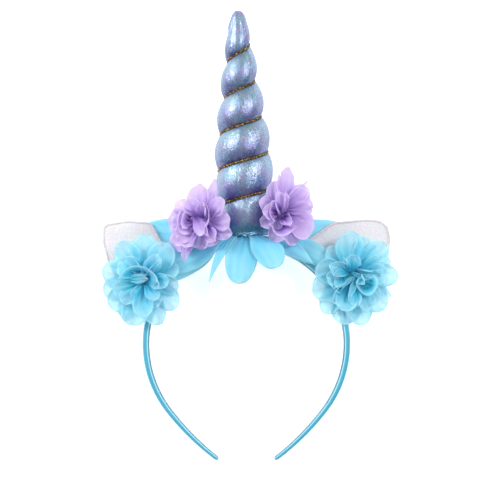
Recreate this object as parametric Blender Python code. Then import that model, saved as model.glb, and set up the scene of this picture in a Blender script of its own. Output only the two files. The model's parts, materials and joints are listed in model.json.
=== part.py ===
"""Unicorn horn headband, lying on its back.

A satin-covered hoop carries a padded spiral horn with a cord wound in its groove, chiffon petals
that come out from under the horn, two flat ears and four gathered chiffon flowers.

It is put together in the assembly frame, as it is worn: X to the right as seen from the front,
Y to the back, Z up, with the origin on the crown of the hoop's centreline. At the end one parent
empty lays it on its back. Then +Y runs from the hoop's tips to the horn's tip and +Z is the front.
"""
import math

import bmesh
import bpy
from mathutils import Matrix, Vector
from mathutils.bvhtree import BVHTree

MM = 0.001

# Clearances and cloth
GAP = 0.3 * MM              # between pieces that lie on each other
LAY_GAP = 0.5 * MM          # the same, measured along the way a flower is laid down
CLOTH = 1.0 * MM            # wall of the chiffon pieces

# Hoop: three arcs on each side of the crown
HOOP_RADIUS = 62.3 * MM
HOOP_TURN = math.radians(90)
SHOULDER_RADIUS = 68.0 * MM
SHOULDER_TURN = math.radians(38)
LEG_RADIUS = 164.0 * MM
LEG_TURN = math.radians(15)
BAND_THICK = 4.5 * MM
BAND_TIP_THICK = 2.6 * MM
BAND_WIDTH = 7.0 * MM
BAND_TIP_WIDTH = 5.0 * MM
BAND_CORNER = 0.42          # radius of the section's corners, as a share of its thickness
BAND_STEPS = 20             # sections on each side
BAND_TIP_TURNS = (35, 62, 80)   # degrees round the tip's rounding, a section at each

# Horn: a padded wall round a hollow that opens at the base
HORN_HEIGHT = 138.0 * MM
HORN_RADIUS = 18.0 * MM
HORN_WALL = 1.2 * MM        # at the groove, and thicker where the bulges stand out
HORN_LEAN = math.radians(-2.3)
HORN_PITCH = 22.25 * MM     # rise of the groove in one turn
HORN_GROOVE_START = 5.3 * MM    # the groove's lowest height above the base, at +X
HORN_PUFF = 0.65            # below 1 is rounder and fuller between the grooves
HORN_COLUMNS = 24
HORN_ROWS_PER_TURN = 8
CORD_RADIUS = 0.75 * MM
CORD_LIFT = 0.45 * MM       # free height under the cord in the groove
CORD_SIDES = 5
CORD_TURNS = 5.25

# Ears
EAR_ANGLE = math.radians(38)    # of the ear's axis above the horizontal, from the hoop's centre
EAR_REACH = 52.0 * MM       # from the hoop's centreline to the ear's tip
EAR_WIDTH = 55.0 * MM
EAR_THICK = 1.6 * MM
EAR_BORDER = 2.4 * MM       # thickness of the rolled border
EAR_BORDER_WIDTH = 1.8 * MM
EAR_MOST_LEAN = math.radians(40)
EAR_HALVINGS = 40           # of the range in which the lean is searched

# Petals under the horn
PETAL_LENGTH = 30.0 * MM
PETAL_ROOT = 0.62           # where a petal starts under the horn, as a share of its radius
PETAL_CROWN_ROOT = 0.25     # the same, for the petals that lie on the hoop's crown
PETAL_BEND = 1.14           # where it bends down, as a share of the horn's radius
PETAL_SPREAD = 1.2          # how far each layer bends outside the one under it, in cloth and gap
PETAL_TWIST = (0.3, 0.85)   # shares of the length between which a petal turns to its tip's side
PETAL_TILT = 0.18           # how far a petal's face follows its azimuth and doesn't face the front
PETAL_ROWS = 7
PETAL_COLUMNS = 4

# Flowers
BLUE_RADIUS = 28.0 * MM
PURPLE_RADIUS = 26.0 * MM
FLOWER_HUB = 5.2 * MM
FOOT_RADIUS = 5.0 * MM      # of the gathered foot behind each flower's hub
FOOT_SIDES = 10
LOBE_COLUMNS = 4
LOBE_ROUNDNESS = 0.7        # below 1 gives broad petals with narrow notches
WHORL_SHARES = (0.0, 0.4, 0.75, 1.0)    # rings of a whorl from its hub to its edge
FLOWER_START = 72.0 * MM    # in front of the hoop, from where a flower is laid on
HEART_HEIGHT = 7.0 * MM
HEART_TURNS = 1.5
HEART_SPACE = 2.5           # room between the turns, in gaps
HEART_DROP = 0.25           # share of the height lost from the middle to the outer end
HEART_STEPS = 12

# The horn's full and waisted radius by height, as shares of its height and radius
HORN_SECTIONS = (
    # height, full, waist
    (0.000, 0.84, 0.80),
    (0.030, 0.94, 0.86),
    (0.100, 0.97, 0.85),
    (0.200, 0.99, 0.85),
    (0.330, 1.00, 0.85),
    (0.450, 0.91, 0.75),
    (0.600, 0.75, 0.57),
    (0.750, 0.58, 0.43),
    (0.870, 0.43, 0.35),
    (0.950, 0.30, 0.27),
    (0.985, 0.19, 0.18),
    (0.996, 0.09, 0.09),
)

# Rings of the horn's hollow, as shares of its height
HOLLOW_SHARES = (0.0, 0.33, 0.60, 0.87)

# One ear's outline, as shares of its width and reach, from the horn's side over the tip
EAR_OUTLINE = (
    # across, up, corner radius as a share of the reach
    (0.44, -0.12, 0.03),
    (0.44, 0.50, 0.20),
    (0.05, 1.02, 0.16),
    (-0.25, 0.74, 0.50),
    (-0.46, 0.30, 0.30),
    (-0.52, -0.13, 0.03),
)

# The petals under the horn. Azimuths are in degrees from +X towards the back. The tip lies off the
# bend by shares of the petal length, the width is such a share too.
PETALS = (
    # name, azimuth, layer, tip right, tip back, tip up, width, root width, outline
    ("petal_upper_left", 150, 2, -1.42, 0.05, 0.10, 0.50, 0.20, "round"),
    ("petal_upper_right", 30, 2, 1.40, 0.05, 0.10, 0.50, 0.20, "round"),
    ("petal_under_left", 203, 0, -0.95, 0.10, -0.68, 0.46, 0.24, "round"),
    ("petal_lower_left", 205, 1, -1.10, 0.00, -0.52, 0.72, 0.26, "round"),
    ("petal_thin_left", 236, 2, -0.32, 0.00, -0.98, 0.20, 0.13, "pointed"),
    ("petal_front", 266, 1, -0.12, 0.10, -0.98, 0.64, 0.24, "round"),
    ("petal_front_right", 294, 2, 0.30, -0.04, -0.68, 0.60, 0.24, "round"),
    ("petal_pointed_right", 331, 1, 0.72, 0.03, -0.56, 0.42, 0.24, "pointed"),
    ("petal_lower_right", 342, 0, 1.05, 0.04, -0.45, 0.48, 0.24, "round"),
)

# A petal's width along its length, as shares of its full width
PETAL_OUTLINES = {
    # share of the length, share of the width
    "round": ((0.0, 0.0), (0.25, 0.62), (0.5, 0.93), (0.7, 1.0), (0.88, 0.78), (1.0, 0.30)),
    "pointed": ((0.0, 0.0), (0.25, 0.72), (0.5, 1.0), (0.7, 0.80), (0.88, 0.42), (1.0, 0.10)),
}

# Whorls of a flower, from the back to the front
WHORLS = (
    # name, radius share, lobes, notch, slope, ruffle share, waves, phase in degrees
    ("outer", 1.00, 7, 0.34, 0.06, 0.07, 3, 10),
    ("middle", 0.74, 6, 0.36, 0.52, 0.12, 4, 35),
    ("inner", 0.48, 5, 0.36, 1.10, 0.16, 3, 70),
)

# The heart's edge over its height
HEART_FLARE = (
    # share of the height, share of the radius
    (0.0, 1.0),
    (0.5, 1.05),
    (1.0, 1.25),
)

# Flowers at the ears. The place is an angle in degrees from the hoop's centre and a share of the
# ear's reach beyond the hoop.
BLUE_FLOWERS = (
    # name, side, angle, beyond, stretch, yaw, roll
    ("flower_blue_left", -1, 31.5, 0.28, 0.88, -14, 20),
    ("flower_blue_right", 1, 31.5, 0.30, 1.00, 14, -10),
)

# Flowers at the horn's foot. The place is in shares of the horn's radius from its base.
PURPLE_FLOWERS = (
    # name, right, up, size, stretch, yaw, roll
    ("flower_purple_left", -1.5, 0.32, 1.0, 0.86, -26, -12),
    ("flower_purple_right", 1.3, 0.72, 0.9, 0.80, 26, 15),
)


def named_material(name, colour, roughness, metallic=0.0):
    material = bpy.data.materials.get(name)
    if material:
        return material
    material = bpy.data.materials.new(name)
    material.use_nodes = True
    shader = material.node_tree.nodes["Principled BSDF"]
    shader.inputs["Base Color"].default_value = (*colour, 1.0)
    shader.inputs["Roughness"].default_value = roughness
    shader.inputs["Metallic"].default_value = metallic
    return material


def satin():
    return named_material("blue_satin", (0.10, 0.45, 0.64), 0.35)


def horn_fabric():
    return named_material("holographic_fabric", (0.28, 0.36, 0.62), 0.3, 0.7)


def metal_cord():
    return named_material("bronze_cord", (0.42, 0.26, 0.08), 0.4, 0.8)


def glitter_fabric():
    return named_material("glitter_fabric", (0.80, 0.76, 0.80), 0.5)


def blue_chiffon():
    return named_material("blue_chiffon", (0.22, 0.64, 0.85), 0.7)


def purple_chiffon():
    return named_material("lilac_chiffon", (0.48, 0.30, 0.74), 0.7)


def new_object(name, vertices, faces, material, smooth_angle=50):
    """One closed solid from its vertices and faces, with the faces turned outwards."""
    mesh = bpy.data.meshes.new(name)
    mesh.from_pydata([tuple(vertex) for vertex in vertices], [], faces)
    solid = bmesh.new()
    solid.from_mesh(mesh)
    bmesh.ops.triangulate(solid, faces=solid.faces[:])
    bmesh.ops.recalc_face_normals(solid, faces=solid.faces[:])
    solid.to_mesh(mesh)
    solid.free()
    mesh.shade_smooth()
    mesh.set_sharp_from_angle(angle=math.radians(smooth_angle))
    mesh.materials.append(material)
    obj = bpy.data.objects.new(name, mesh)
    bpy.context.collection.objects.link(obj)
    return obj


def table_value(rows, share, column):
    """Value of a table's column at a share, in straight lines from row to row."""
    share = min(max(share, rows[0][0]), rows[-1][0])
    for lower, upper in zip(rows, rows[1:]):
        if share <= upper[0]:
            part = (share - lower[0]) / (upper[0] - lower[0])
            return lower[column] + (upper[column] - lower[column]) * part
    return rows[-1][column]


def smooth_step(start, end, share):
    """Rises smoothly from 0 at the start to 1 at the end."""
    part = min(max((share - start) / (end - start), 0.0), 1.0)
    return part * part * (3 - 2 * part)


def rings_to_faces(count, sides):
    """Side faces and the two end faces of a body made of closed rings."""
    faces = []
    for ring in range(count - 1):
        for side in range(sides):
            after = (side + 1) % sides
            faces.append((ring * sides + side, ring * sides + after,
                          (ring + 1) * sides + after, (ring + 1) * sides + side))
    faces.append(tuple(range(sides)))
    faces.append(tuple((count - 1) * sides + side for side in range(sides)))
    return faces


def thick_grid(rows, thickness):
    """Vertices and faces of a closed sheet: two sides, half a thickness off the grid, and a rim."""
    count, width = len(rows), len(rows[0])
    front, back = [], []
    for r in range(count):
        for c in range(width):
            along = rows[min(r + 1, count - 1)][c] - rows[max(r - 1, 0)][c]
            across = rows[r][min(c + 1, width - 1)] - rows[r][max(c - 1, 0)]
            normal = along.cross(across).normalized() * thickness / 2
            front.append(rows[r][c] + normal)
            back.append(rows[r][c] - normal)
    total = count * width
    faces = []
    for r in range(count - 1):
        for c in range(width - 1):
            corner = r * width + c
            quad = (corner, corner + 1, corner + width + 1, corner + width)
            faces.append(quad)
            faces.append(tuple(total + index for index in reversed(quad)))
    rim = [c for c in range(width)]
    rim += [r * width + width - 1 for r in range(1, count)]
    rim += [(count - 1) * width + c for c in range(width - 2, -1, -1)]
    rim += [r * width for r in range(count - 2, 0, -1)]
    for index, after in zip(rim, rim[1:] + rim[:1]):
        faces.append((index, after, total + after, total + index))
    return front + back, faces


def hoop_at(distance):
    """Point of the centreline in X and Z, and its heading below the horizontal, on the right arm."""
    x = z = heading = 0.0
    left = distance
    for radius, turn in hoop_arcs():
        part = min(left, radius * turn)
        after = heading + part / radius
        x += radius * (math.sin(after) - math.sin(heading))
        z -= radius * (math.cos(heading) - math.cos(after))
        heading = after
        left -= part
    return x, z, heading


def hoop_arcs():
    return (
        (HOOP_RADIUS, HOOP_TURN),
        (SHOULDER_RADIUS, SHOULDER_TURN),
        (LEG_RADIUS, LEG_TURN),
    )


def hoop_half_length():
    return sum(radius * turn for radius, turn in hoop_arcs())


def band_section(share, roundness):
    """Section of the band as (depth, height) pairs: a rectangle with rounded corners."""
    width = (BAND_WIDTH + (BAND_TIP_WIDTH - BAND_WIDTH) * share) * roundness
    thick = (BAND_THICK + (BAND_TIP_THICK - BAND_THICK) * share) * roundness
    corner = BAND_CORNER * thick
    points = []
    for quarter in range(4):
        side_y = 1 if quarter in (0, 3) else -1
        side_z = 1 if quarter in (0, 1) else -1
        for step in range(3):
            angle = math.radians(90 * quarter + 45 * step)
            points.append((side_y * (width / 2 - corner) + corner * math.cos(angle),
                           side_z * (thick / 2 - corner) + corner * math.sin(angle)))
    return points


def band_stations():
    """Distances from the crown along one arm, with the tip's rounding, and the section's scale."""
    half = hoop_half_length()
    tip = BAND_TIP_WIDTH / 2
    step = (half - tip) / (BAND_STEPS - 0.5)
    stations = [((index + 0.5) * step, 1.0) for index in range(BAND_STEPS)]
    for degrees in BAND_TIP_TURNS:
        turn = math.radians(degrees)
        stations.append((half - tip + tip * math.sin(turn), math.cos(turn)))
    return stations


def headband():
    half = hoop_half_length()
    right = band_stations()
    sections = [(-distance, scale) for distance, scale in reversed(right)] + right
    vertices = []
    for distance, scale in sections:
        x, z, heading = hoop_at(abs(distance))
        side = math.copysign(1, distance)
        out_x, out_z = side * math.sin(heading), math.cos(heading)
        for depth, height in band_section(abs(distance) / half, scale):
            vertices.append((side * x + out_x * height, depth, z + out_z * height))
    faces = rings_to_faces(len(sections), len(band_section(0, 1)))
    return new_object("headband", vertices, faces, satin())


def layer_height(layer):
    """Middle height of a layer of petals between the hoop's crown and the horn."""
    return BAND_THICK / 2 + GAP + CLOTH / 2 + layer * (CLOTH + GAP)


def horn_seat():
    """Height of the horn's base above the hoop's centreline."""
    return layer_height(2) + CLOTH / 2 + GAP


def groove_height(column):
    """Height of the groove above the horn's base at a column, counted on through the turns."""
    return HORN_GROOVE_START + HORN_PITCH * column / HORN_COLUMNS


def horn_radius(height, phase):
    """Radius at a height, where phase runs from 0 to 1 between two turns of the groove."""
    share = height / HORN_HEIGHT
    full = table_value(HORN_SECTIONS, share, 1)
    waist = table_value(HORN_SECTIONS, share, 2)
    bulge = math.sin(math.pi * (phase % 1.0)) ** HORN_PUFF
    return HORN_RADIUS * (waist + (full - waist) * bulge)


def horn_point(column, height):
    angle = 2 * math.pi * column / HORN_COLUMNS
    phase = round((height - groove_height(column)) / HORN_PITCH, 6)
    radius = horn_radius(height, phase)
    return Vector((radius * math.cos(angle), radius * math.sin(angle), height))


def level_drop(x):
    """Height in the leaning horn's own frame, at which its level base lies."""
    return x * math.tan(HORN_LEAN)


def hollow_rings():
    """Rings of the horn's hollow, a wall inside the groove, from the level base upwards."""
    rings = []
    for share in HOLLOW_SHARES:
        radius = HORN_RADIUS * table_value(HORN_SECTIONS, share, 2) - HORN_WALL
        ring = []
        for column in range(HORN_COLUMNS):
            angle = 2 * math.pi * column / HORN_COLUMNS
            x, y = radius * math.cos(angle), radius * math.sin(angle)
            ring.append(Vector((x, y, share * HORN_HEIGHT if share else level_drop(x))))
        rings.append(ring)
    return rings


def horn():
    """The spiral horn. Its rows follow the groove, so each column of points is cut off at both ends.

    The base is level although the horn leans, and the hollow opens in it."""
    high = HORN_HEIGHT * HORN_SECTIONS[-1][0]
    row_height = HORN_PITCH / HORN_ROWS_PER_TURN
    margin = row_height / 4
    vertices, columns = [], []
    for column in range(HORN_COLUMNS):
        low = level_drop(horn_point(column, 0).x)
        first = math.ceil((low + margin - groove_height(column)) / row_height)
        last = math.floor((high - margin - groove_height(column)) / row_height)
        keys = {}
        for key in range(first, last + 1):
            keys[key] = len(vertices)
            vertices.append(horn_point(column, groove_height(column) + key * row_height))
        keys["low"], keys["high"] = len(vertices), len(vertices) + 1
        vertices.append(horn_point(column, low))
        vertices.append(horn_point(column, high))
        columns.append((first, last, keys))
    faces = []
    for column in range(HORN_COLUMNS):
        first_a, last_a, keys_a = columns[column]
        first_b, last_b, keys_b = columns[(column + 1) % HORN_COLUMNS]
        shift = 0 if column + 1 < HORN_COLUMNS else HORN_ROWS_PER_TURN
        first_b, last_b = first_b - shift, last_b - shift
        first, last = max(first_a, first_b), min(last_a, last_b)
        for key in range(first, last):
            faces.append((keys_a[key], keys_b[key + shift], keys_b[key + 1 + shift], keys_a[key + 1]))
        under = [keys_a[key] for key in range(first, first_a - 1, -1)] + [keys_a["low"], keys_b["low"]]
        faces.append(tuple(under + [keys_b[key + shift] for key in range(first_b, first + 1)]))
        over = [keys_a["high"]] + [keys_a[key] for key in range(last_a, last - 1, -1)]
        faces.append(tuple(over + [keys_b[key + shift] for key in range(last, last_b + 1)] + [keys_b["high"]]))
    below = [keys["low"] for first, last, keys in columns]
    for ring in hollow_rings():
        here = range(len(vertices), len(vertices) + HORN_COLUMNS)
        vertices += ring
        for column in range(HORN_COLUMNS):
            after = (column + 1) % HORN_COLUMNS
            faces.append((below[column], below[after], here[after], here[column]))
        below = here
    faces.append(tuple(below))
    tip = len(vertices)
    vertices.append(Vector((0, 0, HORN_HEIGHT)))
    for column in range(HORN_COLUMNS):
        after = (column + 1) % HORN_COLUMNS
        faces.append((columns[column][2]["high"], columns[after][2]["high"], tip))
    obj = new_object("horn", vertices, faces, horn_fabric(), 70)
    obj.location = (0, 0, horn_seat())
    obj.rotation_euler = (0, HORN_LEAN, 0)
    return obj


def horn_cord():
    """The cord in the groove: a tube with a ring at each column of the horn."""
    count = round(CORD_TURNS * HORN_COLUMNS)
    centres = []
    for column in range(count):
        height = groove_height(column)
        radius = horn_radius(height, 0) + CORD_LIFT + CORD_RADIUS
        angle = 2 * math.pi * column / HORN_COLUMNS
        centres.append(Vector((radius * math.cos(angle), radius * math.sin(angle), height)))
    vertices = []
    for index, centre in enumerate(centres):
        along = (centres[min(index + 1, count - 1)] - centres[max(index - 1, 0)]).normalized()
        outwards = Vector((centre.x, centre.y, 0)).normalized()
        up = along.cross(outwards).normalized()
        for side in range(CORD_SIDES):
            turn = 2 * math.pi * side / CORD_SIDES
            vertices.append(centre + CORD_RADIUS * (math.cos(turn) * outwards + math.sin(turn) * up))
    obj = new_object("horn_cord", vertices, rings_to_faces(count, CORD_SIDES), metal_cord())
    obj.location = (0, 0, horn_seat())
    obj.rotation_euler = (0, HORN_LEAN, 0)
    return obj


def rounded_outline(corners, steps=4):
    """Points round a polygon whose corners (x, y, radius) are replaced by short arcs."""
    points = []
    for index, (x, y, radius) in enumerate(corners):
        here = Vector((x, y))
        before = (Vector(corners[index - 1][:2]) - here)
        after = (Vector(corners[(index + 1) % len(corners)][:2]) - here)
        half = before.angle(after) / 2
        cut = min(radius / math.tan(half), 0.48 * before.length, 0.48 * after.length)
        start, end = here + before.normalized() * cut, here + after.normalized() * cut
        for step in range(steps):
            t = step / (steps - 1)
            points.append(start * (1 - t) ** 2 + here * (2 * t * (1 - t)) + end * t ** 2)
    return points


def ear(name, side, floor):
    """A flat panel with a rolled border behind the hoop, leaning back until it meets the floor.

    floor(z) gives the depth of the surface that the finished headband lies on."""
    outline = rounded_outline([(side * across * EAR_WIDTH, up * EAR_REACH, radius * EAR_REACH)
                               for across, up, radius in EAR_OUTLINE])
    middle = sum(outline, Vector((0, 0))) / len(outline)
    rings = []
    for inset, depth in ((1.0, -EAR_THICK / 2), (0.5, -EAR_BORDER / 2), (0.0, 0.0),
                         (0.5, EAR_BORDER / 2), (1.0, EAR_THICK / 2)):
        for point in outline:
            inner = point + (middle - point).normalized() * inset * EAR_BORDER_WIDTH
            rings.append(Vector((inner.x, depth, inner.y)))
    faces = rings_to_faces(5, len(outline))
    obj = new_object(name, rings, faces, glitter_fabric())
    turn = Matrix.Rotation(side * (math.pi / 2 - EAR_ANGLE), 4, "Y")
    foot = min(point.y for point in outline)
    base_depth = BAND_WIDTH / 2 + GAP + EAR_BORDER / 2
    centre = Vector((0, base_depth, -HOOP_RADIUS))
    start = centre + turn @ Vector((0, 0, HOOP_RADIUS + foot))
    low, high = 0.0, EAR_MOST_LEAN
    for step in range(EAR_HALVINGS):
        lean = (low + high) / 2
        place = Matrix.Translation(start) @ turn @ Matrix.Rotation(-lean, 4, "X")
        place = place @ Matrix.Translation((0, 0, -foot))
        deepest = max((place @ vertex).y - floor((place @ vertex).z) for vertex in rings)
        low, high = (lean, high) if deepest < 0 else (low, lean)
    obj.matrix_basis = place
    return obj


def petal(name, azimuth, layer, right, back, up, width, root_width, outline):
    """A petal from under the horn: a sheet along a curve that leaves level and bends to its tip."""
    angle = math.radians(azimuth)
    outwards = Vector((math.cos(angle), math.sin(angle), 0))
    height = Vector((0, 0, layer_height(layer)))
    root_share = PETAL_CROWN_ROOT if layer == 0 else PETAL_ROOT
    root = outwards * root_share * HORN_RADIUS + height
    bend = outwards * (PETAL_BEND * HORN_RADIUS + PETAL_SPREAD * layer * (CLOTH + GAP)) + height
    tip = bend + Vector((right, back, up)) * PETAL_LENGTH
    root_side = outwards.cross(Vector((0, 0, 1)))
    along = (tip - bend).normalized()
    facing_out = outwards if outwards.y < 0 else Vector((0, 0, 0))
    tip_side = along.cross(Vector((0, -1, 0)) + PETAL_TILT * facing_out).normalized()
    if tip_side.dot(root_side) < 0:
        tip_side.negate()
    rows = []
    for row in range(PETAL_ROWS):
        share = row / (PETAL_ROWS - 1)
        centre = root * (1 - share) ** 2 + bend * (2 * share * (1 - share)) + tip * share ** 2
        side = root_side.lerp(tip_side, smooth_step(*PETAL_TWIST, share)).normalized()
        full = table_value(PETAL_OUTLINES[outline], share, 1) * width
        half = max(full, root_width * (1 - share) ** 2) * PETAL_LENGTH / 2
        rows.append([centre + side * half * (2 * column / PETAL_COLUMNS - 1)
                     for column in range(PETAL_COLUMNS + 1)])
    vertices, faces = thick_grid(rows, CLOTH)
    return new_object(name, vertices, faces, blue_chiffon())


def whorl(name, radius, stretch, base, spec, material):
    """One ruffled ring of petals: a closed sheet on a polar grid, lobed at its edge."""
    label, share, lobes, notch, slope, ruffle, waves, phase = spec
    columns = lobes * LOBE_COLUMNS
    reach = radius * share
    rings = []
    for part in WHORL_SHARES:
        ring = []
        for column in range(columns):
            angle = 2 * math.pi * column / columns
            lobe = abs(math.cos(lobes * angle / 2)) ** LOBE_ROUNDNESS
            edge = reach * (1 - notch * (1 - lobe))
            out = FLOWER_HUB + (edge - FLOWER_HUB) * part
            spread = (out - FLOWER_HUB) / (reach - FLOWER_HUB)
            wave = math.cos(waves * angle + math.radians(phase))
            height = slope * (out - FLOWER_HUB) + ruffle * reach * spread ** 2 * wave
            turned = angle + math.radians(phase)
            ring.append(Vector((out * math.cos(turned) * stretch, out * math.sin(turned), base + height)))
        rings.append(ring)
    front, back = [], []
    for r, ring in enumerate(rings):
        for c, point in enumerate(ring):
            along = rings[min(r + 1, len(rings) - 1)][c] - rings[max(r - 1, 0)][c]
            across = ring[(c + 1) % columns] - ring[c - 1]
            normal = along.cross(across).normalized() * CLOTH / 2
            if r == 0:
                normal = Vector((0, 0, CLOTH / 2))
            front.append(point + normal)
            back.append(point - normal)
    total = len(front)
    faces = []
    for r in range(len(rings) - 1):
        for c in range(columns):
            after = (c + 1) % columns
            quad = (r * columns + c, r * columns + after,
                    (r + 1) * columns + after, (r + 1) * columns + c)
            faces.append(quad)
            faces.append(tuple(total + index for index in reversed(quad)))
    last = (len(rings) - 1) * columns
    for c in range(columns):
        after = (c + 1) % columns
        faces.append((last + c, last + after, total + last + after, total + last + c))
    faces.append(tuple(range(columns)))
    faces.append(tuple(total + c for c in reversed(range(columns))))
    return new_object(name, front + back, faces, material)


def heart(name, base, material):
    """The rolled heart of a flower: a strip of cloth standing on edge along a spiral."""
    pitch = CLOTH + HEART_SPACE * GAP
    rows = []
    for step in range(HEART_STEPS + 1):
        share = step / HEART_STEPS
        angle = 2 * math.pi * HEART_TURNS * share
        radius = CLOTH + pitch * HEART_TURNS * share
        outwards = radius * Vector((math.cos(angle), math.sin(angle), 0))
        height = HEART_HEIGHT * (1 - HEART_DROP * share)
        rows.append([outwards * flare + Vector((0, 0, base + level * height))
                     for level, flare in HEART_FLARE])
    vertices, faces = thick_grid(rows, CLOTH)
    return new_object(name, vertices, faces, material)


def points_and_tree(obj, place):
    """Sample points on an object, and its search tree, in the assembly frame."""
    mesh = obj.data
    points = [place @ vertex.co for vertex in mesh.vertices]
    tree = BVHTree.FromPolygons(points, [tuple(face.vertices) for face in mesh.polygons])
    middles = [(points[edge.vertices[0]] + points[edge.vertices[1]]) / 2 for edge in mesh.edges]
    return points + middles, tree


def free_travel(moving, place, fixed, direction):
    """How far pieces can go in a direction before they meet the fixed ones, by rays both ways."""
    distances = []
    fixed_data = [points_and_tree(obj, obj.matrix_basis) for obj in fixed]
    for piece in moving:
        points, tree = points_and_tree(piece, place)
        for other_points, other_tree in fixed_data:
            for point in points:
                hit = other_tree.ray_cast(point, direction)
                if hit[0]:
                    distances.append(hit[3])
            for point in other_points:
                hit = tree.ray_cast(point, -direction)
                if hit[0]:
                    distances.append(hit[3])
    return min(distances)


def flower(name, place, radius, stretch, carrier, behind, material):
    """Three whorls and a heart on one hub, laid on what is behind, and the foot that carries them.

    The foot runs straight back, or to the side where the carrier is a point on the horn's axis."""
    pieces, base = [], 0.0
    for spec in WHORLS:
        piece = whorl(f"{name}_{spec[0]}", radius, stretch, base, spec, material)
        pieces.append(piece)
        base += CLOTH + GAP
    pieces.append(heart(f"{name}_heart", base - CLOTH / 2, material))
    back = Vector((0, 1, 0))
    start = Matrix.Translation(-FLOWER_START * back) @ place
    travel = free_travel(pieces[:1], start, behind, back) - LAY_GAP
    place = Matrix.Translation(back * travel) @ start
    for piece in pieces:
        piece.matrix_basis = place
    towards = back
    if carrier:
        towards = Vector((carrier.x - place.translation.x, carrier.y - place.translation.y, 0)).normalized()
    return pieces + [foot(name, place, towards, behind, material)]


def foot(name, place, towards, behind, material):
    """The plain gathered foot of a flower, from its hub to the piece that carries it."""
    normal = (place.to_3x3() @ Vector((0, 0, 1))).normalized()
    hub_back = place @ Vector((0, 0, -CLOTH / 2 - GAP))
    side_axis = towards.cross(Vector((0, 0, 1))).normalized()
    trees = [points_and_tree(obj, obj.matrix_basis)[1] for obj in behind]
    front, seats = [], []
    for side in range(FOOT_SIDES):
        angle = 2 * math.pi * side / FOOT_SIDES
        spoke = FOOT_RADIUS * (math.cos(angle) * side_axis + math.sin(angle) * Vector((0, 0, 1)))
        front.append(hub_back + spoke - towards * spoke.dot(normal) / towards.dot(normal))
        for share in (1.0, 0.5, 0.0):
            start = hub_back + share * spoke
            hits = [tree.ray_cast(start, towards) for tree in trees]
            seats += [hit[3] for hit in hits if hit[0]]
    length = min(seats) - GAP
    back = [point + towards * (length - (point - hub_back).dot(towards)) for point in front]
    return new_object(f"{name}_foot", front + back, rings_to_faces(2, FOOT_SIDES), material)


def facing(x, z, yaw, roll):
    """Placement with local +Z to the front, turned by yaw about the upright and by roll about +Z."""
    turn = Matrix.Rotation(math.radians(yaw), 4, "Z") @ Matrix.Rotation(math.pi / 2, 4, "X")
    return Matrix.Translation((x, 0, z)) @ turn @ Matrix.Rotation(math.radians(roll), 4, "Z")


def by_the_ear(side, angle, beyond):
    """Place in X and Z at an angle from the hoop's centre and a distance beyond its centreline."""
    turn = math.radians(angle)
    reach = HOOP_RADIUS + beyond * EAR_REACH
    return side * reach * math.cos(turn), reach * math.sin(turn) - HOOP_RADIUS


def resting_slope(band, horn_piece):
    """Slope of the plane that the hoop's tips and the back of the horn both lie on, and a tip on it."""
    hoop_points = [vertex.co for vertex in band.data.vertices]
    horn_points = [horn_piece.matrix_basis @ vertex.co for vertex in horn_piece.data.vertices]
    lowest = min(hoop_points, key=lambda point: point.z - point.y)
    slope, last = 0.0, None
    while lowest != last:
        slope = max((point.y - lowest.y) / (point.z - lowest.z) for point in horn_points)
        last, lowest = lowest, max(hoop_points, key=lambda point: point.y - slope * point.z)
    return slope, lowest


def lay_down(pieces, slope):
    """Parent all pieces to an empty that lays them on their back, centred over the origin."""
    holder = bpy.data.objects.new("lying_headband", None)
    bpy.context.collection.objects.link(holder)
    turn = Matrix.Rotation(math.atan(slope) - math.pi / 2, 4, "X")
    points = [turn @ piece.matrix_basis @ vertex.co for piece in pieces for vertex in piece.data.vertices]
    low = [min(point[axis] for point in points) for axis in range(3)]
    high = [max(point[axis] for point in points) for axis in range(3)]
    shift = Vector((-(low[0] + high[0]) / 2, -(low[1] + high[1]) / 2, -low[2]))
    holder.matrix_world = Matrix.Translation(shift) @ turn
    for piece in pieces:
        basis = piece.matrix_basis.copy()
        piece.parent = holder
        piece.matrix_basis = basis


def main():
    for obj in list(bpy.data.objects):
        bpy.data.objects.remove(obj)
    band = headband()
    spiral = horn()
    slope, lowest = resting_slope(band, spiral)

    def floor(height):
        return lowest.y + slope * (height - lowest.z)

    cord = horn_cord()
    ears = [ear("ear_left", -1, floor), ear("ear_right", 1, floor)]
    petals = [petal(*row) for row in PETALS]
    pieces = [band, spiral, cord] + ears + petals
    for name, side, angle, beyond, stretch, yaw, roll in BLUE_FLOWERS:
        place = facing(*by_the_ear(side, angle, beyond), yaw, roll)
        pieces += flower(name, place, BLUE_RADIUS, stretch, None, pieces, blue_chiffon())
    for name, right, up, size, stretch, yaw, roll in PURPLE_FLOWERS:
        place = facing(right * HORN_RADIUS, horn_seat() + up * HORN_RADIUS, yaw, roll)
        pieces += flower(name, place, PURPLE_RADIUS * size, stretch, spiral.location, pieces,
                         purple_chiffon())
    lay_down(pieces, slope)


main()
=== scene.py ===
"""Unicorn horn headband: the finish of every surface, and its cloth as fine meshes.

Everything is modelled as it is worn: X to the right as seen from the front, Y to the back, Z up,
with the origin on the crown of the hoop's centreline. WORN then takes it to the lying headband.
Lengths are in metres, and in millimetres where they carry MM.
"""
import json
import math
import random

import bmesh
import bpy
import numpy as np
from mathutils import Matrix, Vector, noise


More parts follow.
